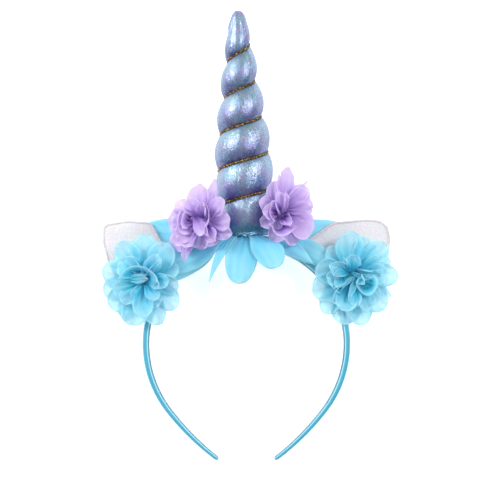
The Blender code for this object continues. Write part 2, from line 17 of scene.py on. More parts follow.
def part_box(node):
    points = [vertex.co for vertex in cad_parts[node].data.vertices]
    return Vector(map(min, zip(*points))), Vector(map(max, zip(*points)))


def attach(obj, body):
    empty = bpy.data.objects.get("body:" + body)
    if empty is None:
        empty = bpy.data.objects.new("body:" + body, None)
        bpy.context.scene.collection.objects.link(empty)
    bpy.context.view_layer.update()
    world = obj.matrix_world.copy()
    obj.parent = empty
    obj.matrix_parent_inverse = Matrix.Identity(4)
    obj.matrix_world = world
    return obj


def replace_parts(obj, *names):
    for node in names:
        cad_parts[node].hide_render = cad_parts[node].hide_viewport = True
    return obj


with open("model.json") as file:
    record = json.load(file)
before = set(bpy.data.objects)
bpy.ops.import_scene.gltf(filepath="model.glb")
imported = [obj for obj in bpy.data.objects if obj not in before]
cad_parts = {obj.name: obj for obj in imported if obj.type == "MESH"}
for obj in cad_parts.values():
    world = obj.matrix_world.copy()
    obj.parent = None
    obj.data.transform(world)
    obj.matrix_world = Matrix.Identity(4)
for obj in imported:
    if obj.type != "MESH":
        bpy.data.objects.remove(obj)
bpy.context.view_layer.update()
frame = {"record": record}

MM = 0.001
PIXEL = 0.62 * MM           # of the photograph, in the hoop's plane

# Place of the worn headband in the frame, from the face that rests on the head
CROWN_DEPTH = 2.42 * MM     # from the hoop's centreline to its inner face at the crown
CROWN = frame["record"]["mounts"][0]
RIGHT = Vector((1, 0, 0))
UP = -Vector(CROWN["axis"]).normalized()
BACK = UP.cross(RIGHT)
ORIGIN = Vector(CROWN["pos_m"]) + CROWN_DEPTH * UP
WORN = Matrix.Translation(ORIGIN) @ Matrix((RIGHT, BACK, UP)).transposed().to_4x4()

# Hoop
HOOP_ARCS = (
    # radius, turn, from the crown to a tip
    (62.3 * MM, math.radians(90)),
    (68.0 * MM, math.radians(38)),
    (164.0 * MM, math.radians(15)),
)
BAND_WIDTH = (7.0 * MM, 5.0 * MM)   # at the crown and at the tips
BAND_SIDES = 72
BAND_STEPS = 110            # in each arm, without its tip
BAND_TIP = (15, 30, 45, 60, 72, 82)     # degrees round the tip at which it has sections
BAND_CORNER = 0.8           # power of the section's oval, which makes its corners fuller
SEAM_ANGLE = 218            # in degrees round the section, from the back over the outside
SEAM_SPREAD = 9
SEAM_HEIGHT = 0.25 * MM
BAND_THICKNESS = (
    # share of the arm from the crown, thickness in millimetres
    (0.0, 4.5),
    (0.35, 4.6),
    (0.62, 4.5),
    (0.80, 3.9),
    (1.0, 3.0),
)

# Horn
HORN_HEIGHT = 138.0 * MM
HORN_RADIUS = 18.0 * MM
HORN_LEAN = math.radians(-2.3)
HORN_PITCH = 22.25 * MM
HORN_GROOVE_START = 5.3 * MM
HORN_PUFF = 0.60            # power of the bulges' curve, fuller when lower
HORN_TOP = 0.998            # share of its height where the horn is cut off
HORN_PUCKERS = (0.20 * MM, 0.30 * MM)   # all over, and along the cord
HORN_PLEATS = 0.08          # of its radius, at the tip
HORN_CLOSED = (0.89, 0.93)  # shares of its height between which the groove ends
HORN_TIP = (0.93, 0.99)     # shares of its height between which the tip's pleats begin
HORN_FOOT = 9 * MM          # height up to which a dark teal stands for painted shade at the foot
HORN_SEAT = 6.45 * MM       # above the hoop's centreline
HORN_SINK = 1.7 * MM        # of its foot into the petals under it
HORN_COLUMNS = 120
HORN_ROWS_PER_TURN = 40
CORD_RADIUS = 0.75 * MM
CORD_LIFT = 0.2 * MM
CORD_TURNS = 5.25
CORD_LAY = 3.2 * MM         # length of one twist of the two strands
CORD_STEPS = 360            # in one turn round the horn
STRAND_SHARE = 0.52         # of the cord's radius
STRAND_OFFSET = 0.85        # of a strand's radius, from the cord's middle

HORN_SECTIONS = (
    # share of the height, then shares of the radius on a bulge and in the groove
    (0.000, 0.84, 0.80),
    (0.030, 0.93, 0.86),
    (0.100, 0.97, 0.84),
    (0.200, 0.99, 0.84),
    (0.330, 1.00, 0.81),
    (0.450, 0.92, 0.70),
    (0.600, 0.77, 0.51),
    (0.750, 0.60, 0.38),
    (0.870, 0.44, 0.29),
    (0.950, 0.30, 0.25),
    (0.985, 0.19, 0.18),
    (1.000, 0.07, 0.07),
)


def table_value(rows, share, column):
    """Value of a table's column at a share, in a smooth curve through the rows."""
    shares = [row[0] for row in rows]
    values = [row[column] for row in rows]
    share = min(max(share, shares[0]), shares[-1])
    index = max(i for i in range(len(rows) - 1) if shares[i] <= share)
    slopes = []
    for i in (index, index + 1):
        before, after = max(i - 1, 0), min(i + 1, len(rows) - 1)
        slopes.append((values[after] - values[before]) / (shares[after] - shares[before]))
    span = shares[index + 1] - shares[index]
    t = (share - shares[index]) / span
    return ((2 * t**3 - 3 * t**2 + 1) * values[index] + (t**3 - 2 * t**2 + t) * span * slopes[0]
            + (3 * t**2 - 2 * t**3) * values[index + 1] + (t**3 - t**2) * span * slopes[1])


def new_piece(name, vertices, faces, material, flat=None, tones=None):
    """A mesh object from points in the worn frame, which rides on the one body."""
    mesh = bpy.data.meshes.new(name)
    mesh.from_pydata([tuple(WORN @ Vector(vertex)) for vertex in vertices], [], faces)
    if flat is not None:
        layer = mesh.uv_layers.new(name="flat")
        for loop in mesh.loops:
            layer.data[loop.index].uv = flat[loop.vertex_index]
    for label, values in (tones or {}).items():
        attribute = mesh.attributes.new(label, "FLOAT", "POINT")
        attribute.data.foreach_set("value", [float(value) for value in values])
    mesh.shade_smooth()
    mesh.materials.append(material)
    obj = bpy.data.objects.new(name, mesh)
    bpy.context.collection.objects.link(obj)
    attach(obj, "root")
    return obj


def ring_faces(rings, sides):
    """Faces of a tube of rings of vertices, with a cap on each end."""
    faces = []
    for low in range(0, (rings - 1) * sides, sides):
        for side in range(sides):
            after = (side + 1) % sides
            faces.append((low + side, low + after, low + sides + after, low + sides + side))
    faces.append(tuple(reversed(range(sides))))
    faces.append(tuple((rings - 1) * sides + side for side in range(sides)))
    return faces


def tube(path, radius, sides):
    """Vertices and faces of a closed tube along a path."""
    vertices = []
    last = len(path) - 1
    for index, centre in enumerate(path):
        along = (path[min(index + 1, last)] - path[max(index - 1, 0)]).normalized()
        first = along.cross(Vector((0, 0, 1))).normalized()
        second = along.cross(first)
        for side in range(sides):
            turn = 2 * math.pi * side / sides
            vertices.append(centre + radius * (math.cos(turn) * first + math.sin(turn) * second))
    return vertices, ring_faces(len(path), sides)


def tubes(paths, radius, sides, place):
    """Vertices and faces of several tubes as one mesh, moved by place."""
    vertices, faces = [], []
    for path in paths:
        points, around = tube(path, radius, sides)
        start = len(vertices)
        vertices += [place @ point for point in points]
        faces += [tuple(start + index for index in face) for face in around]
    return vertices, faces


def flat_grid(along, across):
    """Places in the flat cut, from the rows' places along it and a grid or row of those across it."""
    return np.stack(np.broadcast_arrays(along[:, None], across), axis=2)


def curve(start, bend, end, t):
    """Point at a share of the curve that leaves start towards bend and comes from bend to end."""
    return start * (1 - t) ** 2 + bend * (2 * t * (1 - t)) + end * t ** 2


# Materials


class Nodes:
    """A material's node tree with short calls for the nodes that the surfaces here use."""

    def __init__(self, name):
        self.material = bpy.data.materials.new(name)
        self.material.use_nodes = True
        self.tree = self.material.node_tree
        self.shader = self.tree.nodes["Principled BSDF"]
        self.output = self.tree.nodes["Material Output"]

    def add(self, kind, sockets, **settings):
        """A node with its settings, whose sockets are linked to a source or given a value."""
        node = self.tree.nodes.new(kind)
        for key, value in settings.items():
            setattr(node, key, value)
        for key, source in sockets.items():
            if isinstance(source, bpy.types.NodeSocket):
                self.link(source, node.inputs[key])
            elif node.inputs[key].type == "RGBA":
                node.inputs[key].default_value = (*source, 1.0)
            else:
                node.inputs[key].default_value = source
        return node

    def link(self, source, target):
        self.tree.links.new(source, target)

    def place(self):
        return self.add("ShaderNodeTexCoord", {}).outputs["Object"]

    def flat(self):
        return self.add("ShaderNodeUVMap", {}, uv_map="flat").outputs["UV"]

    def value(self, name):
        return self.add("ShaderNodeAttribute", {}, attribute_name=name).outputs["Fac"]

    def scaled(self, vector, scale):
        return self.add("ShaderNodeVectorMath", {0: vector, 1: scale}, operation="MULTIPLY").outputs[0]

    def noise(self, vector, scale, detail=3.0, roughness=0.5):
        sockets = {"Vector": vector, "Scale": scale, "Detail": detail, "Roughness": roughness}
        return self.add("ShaderNodeTexNoise", sockets).outputs["Fac"]

    def cells(self, vector, scale, output="Color"):
        return self.add("ShaderNodeTexVoronoi", {"Vector": vector, "Scale": scale}).outputs[output]

    def wave(self, vector, direction, scale, distortion):
        sockets = {"Vector": vector, "Scale": scale, "Distortion": distortion}
        return self.add("ShaderNodeTexWave", sockets, bands_direction=direction).outputs["Fac"]

    def ramp(self, factor, stops):
        node = self.add("ShaderNodeValToRGB", {"Fac": factor})
        points = node.color_ramp.elements
        points[0].position, points[0].color = stops[0][0], (*stops[0][1], 1.0)
        points[1].position, points[1].color = stops[-1][0], (*stops[-1][1], 1.0)
        for position, colour in stops[1:-1]:
            points.new(position).color = (*colour, 1.0)
        return node.outputs["Color"]

    def mask(self, factor, none, full):
        """0 at one value of the factor and 1 at the other."""
        return self.ramp(factor, sorted(((none, (0.0, 0.0, 0.0)), (full, (1.0, 1.0, 1.0)))))

    def tinted(self, colour, mask, share, tint):
        """The colour with a share of a tint where the mask is 1."""
        return self.mix(self.math("MULTIPLY", mask, share), colour, tint)

    def mix(self, factor, first, second, blend="MIX"):
        sockets = {0: factor, 6: first, 7: second}
        return self.add("ShaderNodeMix", sockets, data_type="RGBA", blend_type=blend).outputs[2]

    def math(self, operation, first, second, third=0.0):
        sockets = {0: first, 1: second, 2: third}
        return self.add("ShaderNodeMath", sockets, operation=operation).outputs[0]

    def bump(self, height, distance, strength, under=None):
        """A normal for a height, on top of the normal under it."""
        sockets = {"Height": height, "Distance": distance, "Strength": strength}
        if under is not None:
            sockets["Normal"] = under
        return self.add("ShaderNodeBump", sockets).outputs["Normal"]

    def blended(self, factor, first, second):
        """Two shaders as one, which is the second where the factor is 1."""
        return self.add("ShaderNodeMixShader", {0: factor, 1: first, 2: second}).outputs[0]

    def finish(self, colour=None, normal=None, roughness=None, **constants):
        for name, source in (("Base Color", colour), ("Normal", normal), ("Roughness", roughness)):
            if source is not None:
                self.link(source, self.shader.inputs[name])
        for name, value in constants.items():
            self.shader.inputs[name.replace("_", " ")].default_value = value
        return self.material


def chiffon(name, deep, middle, pale, tint, see_through):
    """Thin woven chiffon, partly see-through: deep at the roots, the layered cloth's colour with painted
    shade in the gathered middle, and pale at the cut edges with a painted highlight.
    """
    n = Nodes(name)
    tone = n.value("tone")
    cloudy = n.noise(n.place(), 55.0, 2.0)
    crease = n.noise(n.scaled(n.flat(), (35.0, 230.0, 1.0)), 1.0, 3.0)
    shifted = n.math("ADD", tone, n.math("MULTIPLY_ADD", cloudy, 0.25, -0.125))
    # Painted shade: darker colour in the creases' valleys, beside their bump
    shifted = n.math("ADD", shifted, n.math("MULTIPLY_ADD", crease, 0.56, -0.28))
    # Painted shade in part: the tone runs from the deep roots, shaded in the gathered middle, to the
    # pale tips
    colour = n.ramp(shifted, ((0.06, deep), (0.44, middle), (0.92, pale)))
    patches = n.mask(n.noise(n.place(), 70.0, 2.0), 0.50, 0.68)
    colour = n.tinted(colour, patches, 0.25, tint)
    # Painted highlight: the cut edges tinted towards the pale colour
    colour = n.tinted(colour, n.value("rim"), 0.75, pale)
    threads = n.math("MULTIPLY", n.wave(n.flat(), "X", 420.0, 0.4), n.wave(n.flat(), "Y", 420.0, 0.4))
    colour = n.tinted(colour, threads, 0.12, (1.0, 1.0, 1.0))
    normal = n.bump(threads, 0.10 * MM, 0.35, n.bump(crease, 2.0 * MM, 0.6))
    n.finish(colour, normal, Roughness=0.72, Sheen_Weight=0.15, Sheen_Roughness=0.4,
             Specular_IOR_Level=0.35)
    glow = n.add("ShaderNodeBsdfTranslucent", {"Color": colour, "Normal": normal})
    lit = n.blended(0.40, n.shader.outputs[0], glow.outputs[0])
    clear = n.add("ShaderNodeBsdfTransparent", {})
    inside_rim = n.math("MULTIPLY_ADD", n.value("rim"), -0.5, 1.0)
    clearness = n.math("MULTIPLY", n.math("MULTIPLY", tone, inside_rim), see_through)
    n.link(n.blended(clearness, lit, clear.outputs[0]), n.output.inputs["Surface"])
    return n.material


def horn_fabric():
    """Padded metallic fabric with fine holographic sparkle. Painted shade makes it darker and more
    violet in the grooves and low on each bulge, painted light makes each bulge's top lighter, and
    painted glints lie over it.
    """
    n = Nodes("holographic_fabric")
    place = n.place()
    # Painted shade and light by the turn: dark and violet in the grooves and low on each bulge, lighter
    # towards its top
    base = n.ramp(n.value("turn"), (
        (0.00, (0.02, 0.03, 0.10)),
        (0.17, (0.085, 0.115, 0.27)),
        (0.48, (0.22, 0.27, 0.43)),
        (0.80, (0.24, 0.36, 0.46)),
        (0.93, (0.15, 0.26, 0.38)),
        (1.00, (0.04, 0.07, 0.16)),
    ))
    violet = n.mask(n.noise(place, 160.0, 3.0, 0.6), 0.45, 0.66)
    teal = n.mask(n.noise(n.scaled(place, (1.0, 1.3, 0.8)), 120.0, 3.0, 0.6), 0.48, 0.68)
    colour = n.tinted(base, violet, 0.28, (0.36, 0.25, 0.50))
    colour = n.tinted(colour, teal, 0.38, (0.15, 0.42, 0.48))
    # Painted shade at the foot, in dark teal
    colour = n.tinted(colour, n.value("foot"), 0.65, (0.03, 0.26, 0.38))
    specks = n.cells(place, 2300.0)
    colour = n.mix(0.36, colour, specks, "OVERLAY")
    # Painted glints: fine specks tinted near white, where the roughness is also lower
    glint_specks = n.mask(n.noise(place, 1500.0, 1.0), 0.58, 0.72)
    colour = n.tinted(colour, glint_specks, 0.30, (0.80, 0.82, 0.88))
    dark = n.mask(n.noise(n.scaled(place, (1.0, 1.0, 1.1)), 1200.0, 1.0), 0.42, 0.28)
    colour = n.tinted(colour, dark, 0.35, (0.05, 0.06, 0.16))
    puckers = n.noise(place, 330.0, 3.0, 0.6)
    grains = n.cells(place, 1900.0, "Distance")
    normal = n.bump(grains, 0.20 * MM, 0.7, n.bump(puckers, 0.45 * MM, 0.35))
    roughness = n.math("MULTIPLY_ADD", glint_specks, -0.08, 0.30)
    return n.finish(colour, normal, roughness, Metallic=0.72, Specular_IOR_Level=0.6,
                    Specular_Tint=(0.45, 0.52, 0.70, 1.0), Coat_Weight=0.60, Coat_Roughness=0.25)


def metal_cord():
    """Metallic yarn, dark brown to gold."""
    n = Nodes("two_ply_metallic_cord")
    place = n.place()
    colour = n.ramp(n.noise(place, 900.0, 3.0, 0.7), (
        (0.38, (0.035, 0.018, 0.005)),
        (0.54, (0.22, 0.125, 0.035)),
        (0.68, (0.85, 0.63, 0.33)),
    ))
    glints = n.cells(place, 1600.0, "Distance")
    return n.finish(colour, n.bump(glints, 0.12 * MM, 0.6), Roughness=0.32, Metallic=0.85)


def satin():
    """Satin ribbon on the hoop, with painted light and shade across it: a painted highlight line near
    its inner edge, beside a dark line that is partly the seam and partly painted shade, and a painted
    highlight along its outer side.

    Across runs round the section from 0 at the back, 0.25 outside, 0.5 in front and 0.75 inside."""
    n = Nodes("blue_satin")
    flat = n.flat()
    cloudy = n.noise(n.scaled(flat, (60.0, 500.0, 1.0)), 1.0, 3.0)
    # Painted highlight on the outer side near 0.30, a painted highlight line from 0.542 to 0.575, then
    # the seam's dark line with painted shade
    across = n.ramp(n.value("across"), (
        (0.000, (0.08, 0.42, 0.60)),
        (0.300, (0.16, 0.58, 0.74)),
        (0.380, (0.13, 0.52, 0.69)),
        (0.425, (0.035, 0.30, 0.45)),
        (0.505, (0.05, 0.35, 0.51)),
        (0.530, (0.10, 0.48, 0.65)),
        (0.542, (0.42, 0.82, 0.93)),
        (0.575, (0.42, 0.82, 0.93)),
        (0.588, (0.008, 0.12, 0.20)),
        (0.700, (0.01, 0.14, 0.24)),
        (0.730, (0.08, 0.42, 0.60)),
        (1.000, (0.08, 0.42, 0.60)),
    ))
    colour = n.mix(n.math("MULTIPLY_ADD", cloudy, 0.4, -0.08), across, (0.09, 0.44, 0.62))
    threads = n.noise(n.scaled(flat, (120.0, 2600.0, 1.0)), 1.0, 2.0)
    creases = n.noise(n.scaled(flat, (260.0, 60.0, 1.0)), 1.0, 3.0)
    normal = n.bump(threads, 0.08 * MM, 0.3, n.bump(creases, 0.5 * MM, 0.35))
    return n.finish(colour, normal, Roughness=0.27, Sheen_Weight=0.15, Sheen_Roughness=0.3,
                    Specular_IOR_Level=0.9, Anisotropic=0.5)


def glitter_fabric(name, colour, strength):
    """Off-white fabric with fine glitter, whose specks carry painted glints."""
    n = Nodes(name)
    place = n.place()
    specks = n.cells(place, 1900.0)
    tint = n.mix(0.20, colour, specks, "OVERLAY")
    tint = n.tinted(tint, n.mask(n.noise(place, 1400.0, 2.0), 0.42, 0.28), strength, (0.52, 0.47, 0.52))
    # Painted glints: fine specks tinted near white, where the roughness is also lower
    glint_specks = n.mask(n.noise(place, 1250.0, 1.0), 0.64, 0.70)
    tint = n.tinted(tint, glint_specks, 0.6, (1.0, 0.98, 1.0))
    grains = n.cells(place, 1900.0, "Distance")
    roughness = n.math("MULTIPLY_ADD", glint_specks, -0.35, 0.55)
    return n.finish(tint, n.bump(grains, 0.15 * MM, 0.4), roughness, Specular_IOR_Level=0.6)


BLUE = chiffon("blue_chiffon", deep=(0.0, 0.50, 0.74), middle=(0.09, 0.72, 0.89),
               pale=(0.50, 0.85, 0.94), tint=(0.42, 0.62, 0.90), see_through=0.50)
BLUE_LONG = chiffon("long_blue_chiffon", deep=(0.02, 0.48, 0.74), middle=(0.19, 0.69, 0.86),
                    pale=(0.52, 0.88, 0.94), tint=(0.48, 0.63, 0.92), see_through=0.22)
LILAC = chiffon("lilac_chiffon", deep=(0.19, 0.06, 0.48), middle=(0.60, 0.42, 0.86),
                pale=(0.82, 0.69, 0.96), tint=(0.80, 0.52, 0.88), see_through=0.34)
THREAD = Nodes("pale_thread").finish(Base_Color=(0.30, 0.68, 0.84, 1.0), Roughness=0.7)
HORN_CLOTH = horn_fabric()
CORD_METAL = metal_cord()
SATIN = satin()
GLITTER = glitter_fabric("glitter_fabric", (0.66, 0.63, 0.66), 0.30)
BORDER = glitter_fabric("rolled_border", (0.58, 0.56, 0.58), 0.4)


# Cloth petals


class Cloth:
    """Closed thin sheets gathered into one mesh, with their flat cut and their tones."""

    def __init__(self, thickness):
        self.thickness = thickness
        self.vertices, self.faces, self.flat, self.tone, self.rim = [], [], [], [], []
        self.area, self.width, self.length = 0.0, 0.0, 0.0

    def add(self, points, flat, tone, rim):
        """Points and flat, in metres, are grids of rows and columns. Tone and rim may also be one row,
        one column or one number."""
        rows, columns = points.shape[:2]
        tone, rim = (np.broadcast_to(values, (rows, columns)) for values in (tone, rim))
        along = np.gradient(points, axis=0)
        across = np.gradient(points, axis=1)
        normal = np.cross(along, across)
        normal /= np.maximum(np.linalg.norm(normal, axis=2, keepdims=True), 1e-12)
        start, total = len(self.vertices), rows * columns
        for side in (1, -1):
            face = points + side * self.thickness / 2 * normal
            self.vertices += [tuple(point) for point in face.reshape(-1, 3)]
            self.flat += [tuple(place) for place in flat.reshape(-1, 2)]
            self.tone += list(tone.reshape(-1))
            self.rim += list(rim.reshape(-1))
        for r in range(rows - 1):
            for c in range(columns - 1):
                corner = start + r * columns + c
                quad = (corner, corner + columns, corner + columns + 1, corner + 1)
                self.faces.append(quad)
                self.faces.append(tuple(total + index for index in reversed(quad)))
        edge = list(range(columns))
        edge += [r * columns + columns - 1 for r in range(1, rows)]
        edge += [(rows - 1) * columns + c for c in range(columns - 2, -1, -1)]
        edge += [r * columns for r in range(rows - 2, 0, -1)]
        for index, after in zip(edge, edge[1:] + edge[:1]):
            other = start + total
            self.faces.append((start + index, start + after, other + after, other + index))
        widths = flat[:, -1, 1] - flat[:, 0, 1]
        steps = np.diff(flat[:, 0, 0])
        self.area += float((steps * (widths[1:] + widths[:-1]) / 2).sum())
        self.width += float(widths.max())
        self.length = max(self.length, float(flat[-1, 0, 0]))

    def piece(self, name, material, place, replaces):
        """The mesh object, moved by place within the worn frame, which hides the frame's parts that it
        replaces.
        """
        points = [place @ Vector(vertex) for vertex in self.vertices]
        tones = {"tone": self.tone, "rim": self.rim}
        obj = new_piece(name, points, self.faces, material, self.flat, tones)
        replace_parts(obj, *replaces)


OUTLINES = {
    # share of the length where it is widest, width at the root, power of its end, sharper when higher
    "round": (0.62, 0.24, 0.48),
    "blunt": (0.66, 0.60, 0.36),
    "broad": (0.55, 0.34, 0.48),
    "leaf": (0.48, 0.14, 0.85),
}
PETAL_ROWS = 22
PETAL_COLUMNS = 17
ROOT_PLEAT = 0.17           # of the half width
TWIST = 16                  # degrees a petal may twist to either side
SIDE_BEND = 0.10            # of its length that a petal may bend to either side
WAVES = (2, 3, 3, 4)        # in a petal's edge, one of these drawn for each
RUFFLE = 0.95 * MM          # height of the waves in a petal's edge
RUFFLE_RANGE = (0.6, 1.3)   # of that height, for each petal


def petal_width(outline, u):
    """Half width of a petal along its length, as shares of its greatest half width."""
    peak, root, end = OUTLINES[outline]
    power = math.log(0.5) / math.log(peak)
    swell = np.maximum(np.sin(np.pi * np.clip(u, 0, 1) ** power), 0)
    swell = np.where(u < peak, swell ** 0.9, swell ** end)
    return np.maximum(root * (1 - u) ** 2 + swell * (1 - root * (1 - u) ** 2), 0.025)


def petal_grid(petal, draw):
    """One petal from its root at the origin along +X, with its face to +Z.

    The middle line rises and then curls by its angles, the cross-section is an arc whose edges are
    turned by cup at the root and open_cup at the tip. It is pleated at the root and wavy at its edge."""
    length, width = petal["length"] * MM, petal["width"] * MM
    cup, open_cup = petal["cup"], petal["open_cup"]
    ruffle = RUFFLE * draw.uniform(*RUFFLE_RANGE)
    twist = draw.uniform(-TWIST, TWIST)
    bend = draw.uniform(-SIDE_BEND, SIDE_BEND)
    waves = draw.choice(WAVES)
    phase = draw.uniform(0, 6.28)
    u = np.sin(np.pi / 2 * np.linspace(0, 1, PETAL_ROWS))
    v = np.linspace(-1, 1, PETAL_COLUMNS)
    slope = np.radians(petal["rise"] + petal["curl"] * u ** 1.4)
    middle = (slope[1:] + slope[:-1]) / 2
    steps = np.diff(u) * length
    reach = np.concatenate([[0], np.cumsum(np.cos(middle) * steps)])
    height = np.concatenate([[0], np.cumsum(np.sin(middle) * steps)])
    half = width / 2 * petal_width(petal["outline"], u)
    arc = np.radians(cup + (open_cup - cup) * u)
    arc = np.where(np.abs(arc) < 0.02, 0.02, arc)[:, None]
    lateral = half[:, None] * np.sin(arc * v) / arc
    lift = half[:, None] * (1 - np.cos(arc * v)) / arc
    turn = np.radians(twist) * u[:, None]
    side = lateral * np.cos(turn) - lift * np.sin(turn)
    off = lateral * np.sin(turn) + lift * np.cos(turn)
    across = half[:, None] * v / (width / 2)
    beyond = (2 * u - 1)[:, None]
    around = np.arctan2(across, beyond)
    rim_share = np.clip(np.hypot(across, beyond), 0, 1.1)
    wave = np.sin(waves * around + phase) + 0.6 * np.sin((2 * waves + 1) * around + 2 * phase)
    off = off + ruffle * rim_share ** 3 * wave * np.clip(1.6 * u - 0.3, 0, 1)[:, None]
    pleat = np.cos(3.3 * np.pi * v + phase)[None, :] * (1 - np.clip(u * 1.05, 0, 1))[:, None]
    off = off + ROOT_PLEAT * half[:, None] * pleat
    side = side + bend * length * (u ** 2)[:, None]
    x = reach[:, None] - off * np.sin(slope)[:, None]
    z = height[:, None] + off * np.cos(slope)[:, None]
    points = np.stack([x, side, z], axis=2)
    flat = flat_grid(u * length, half[:, None] * v)
    # Rim: the edge that takes a painted highlight
    rim = np.clip((rim_share - 0.86) / 0.12, 0, 1) * (beyond > -0.6)
    # Tone: deep at the root to pale at the tip, partly painted shade in the gathered middle
    tone = 0.35 + 0.6 * u if petal["outline"] == "leaf" else u ** 1.1
    return points, flat, tone[:, None], rim


STRIP_ROWS = 40
STRIP_COLUMNS = 9


def rolled_strip(right, up, lift, wide, tall, start, sweep, height, flare):
    """A strip of cloth standing on edge along an oval round its middle, flared towards its free edge.

    Its lengths are in millimetres and its angles in degrees, as in ROLLS."""
    lengths = (right, up, lift, wide, tall, height)
    right, up, lift, wide, tall, height = (value * MM for value in lengths)
    angles = np.radians(start + sweep * np.linspace(0, 1, STRIP_ROWS))
    grow = 1 + 0.18 * np.linspace(-0.5, 1, STRIP_ROWS)
    h = np.linspace(0, 1, STRIP_COLUMNS)
    out = (0.55 + 0.45 * h ** 0.8 + flare * h ** 3)[None, :] * grow[:, None]
    wave = 0.10 * h[None, :] ** 2 * np.sin(3 * angles + right * 900)[:, None]
    x = right + wide * (out + wave) * np.cos(angles)[:, None]
    y = up + tall * (out + wave) * np.sin(angles)[:, None]
    end = np.minimum(np.linspace(0, 6, STRIP_ROWS), np.linspace(6, 0, STRIP_ROWS))
    end = np.minimum(1, end + 0.35)
    z = lift + height * end[:, None] * (h - 0.25 * flare * h ** 3)[None, :]
    points = np.stack([x, y, z], axis=2)
    along = np.cumsum(np.linalg.norm(np.diff(points[:, -1], axis=0), axis=1))
    flat = flat_grid(np.concatenate([[0], along]), height * end[:, None] * (h - 0.5)[None, :])
    # Tone: deep at the strip's foot, partly painted shade in the flower's middle; rim: a painted
    # highlight on the free edge
    return points, flat, 0.9 * h ** 1.3, np.clip((h - 0.85) / 0.15, 0, 1)


def turned(points, azimuth, root, tilt=0.0):
    """A grid of points tilted about its own length, turned to its azimuth and moved to its root."""
    turn = Matrix.Rotation(math.radians(azimuth), 3, "Z") @ Matrix.Rotation(math.radians(tilt), 3, "X")
    return points @ np.array(turn).T + np.array(root)


# Each flower's petals, seen from the front. Lengths are in millimetres, angles in degrees, and the
# azimuth turns from the right over the top. Right and up give the petal's root from the flower's
# middle, and lift how far it stands in front of the hub. A petal without an outline is round.
PETAL_NAMES = ("right", "up", "lift", "azimuth", "length", "width", "rise", "curl", "cup", "open_cup",
               "tilt", "outline")
BLUE_LEFT = {
    "outer": (
        (-8, 1, -1, 0, 14, 13, 0, 0, 10, 10, 0, "broad"),
        (0, 2, 0, 94, 27, 17, 6, -8, 40, 10, 8),
        (-2, 2, 1, 121, 27, 19, 10, -10, 40, 6, -8),
        (2, 2, 1, 60, 25, 18, 10, -12, 50, 12, 10),
        (-2, 0, 0, 148, 22, 15, 8, -10, 40, 6, 8),
        (-2, 0, 1, 170, 27, 18, 10, -16, 40, 10, -8),
        (-2, -1, 0, 193, 27, 16, 6, -10, 40, 10, 8),
        (-2, -2, 1, 212, 26, 17, 10, -12, 40, 10, -8),
        (-1, -2, 0, 233, 26, 15, 6, -10, 40, 10, 8),
        (-1, -2, 1, 254, 27, 18, 12, -16, 50, 15, -8),
        (1, -2, 0, 287, 26, 17, 8, -12, 50, 12, 8),
        (2, -1, 0, 322, 23, 15, 8, -14, 40, 10, -8),
        (2, 0, 1, 352, 19, 14, 10, -14, 40, 15, 8),
        (2, 1, 0, 24, 20, 14, 8, -14, 40, 15, -8),
    ),
    "middle": (
        (-2, 2, 3, 140, 18, 17, 32, -26, 60, 30, 10),
        (-2, -1, 3, 192, 19, 15, 26, -24, 60, 30, -12),
        (-1, -2, 3, 228, 18, 14, 26, -22, 70, 35, 14),
        (0, -2, 4, 262, 21, 15, 30, -30, 70, 40, -10),
        (2, -1, 3, 300, 17, 13, 26, -24, 70, 30, 14),
        (3, 1, 3, 340, 15, 13, 34, -20, 80, 60, -12),
        (1, 3, 3, 70, 17, 13, 34, -26, 80, 50, 12),
        (-1, 4, 4, 98, 15, 10, 44, -28, 90, 60, -20, "leaf"),
    ),
    "inner": (
        (1, 4, 6, 62, 16, 6, 40, -22, 120, 90, 30, "leaf"),
        (-1, -1, 6, 184, 15, 7, 26, -10, 110, 60, 60, "leaf"),
        (1, -2, 6, 303, 13, 10, 30, -26, 50, 10, -25, "broad"),
        (-2, -2, 5, 250, 12, 6, 34, -20, 120, 90, 20, "leaf"),
        (6, 3, 5, 330, 11, 10, 50, -20, 90, 80, 20),
    ),
    "heart": (
        (-10, 1, 8, 9, 14, 6.5, 12, -8, 25, 10, 12, "leaf"),
        (-4, 6, 5, 335, 10, 6, 30, -20, 60, 50, -35, "leaf"),
    ),
}
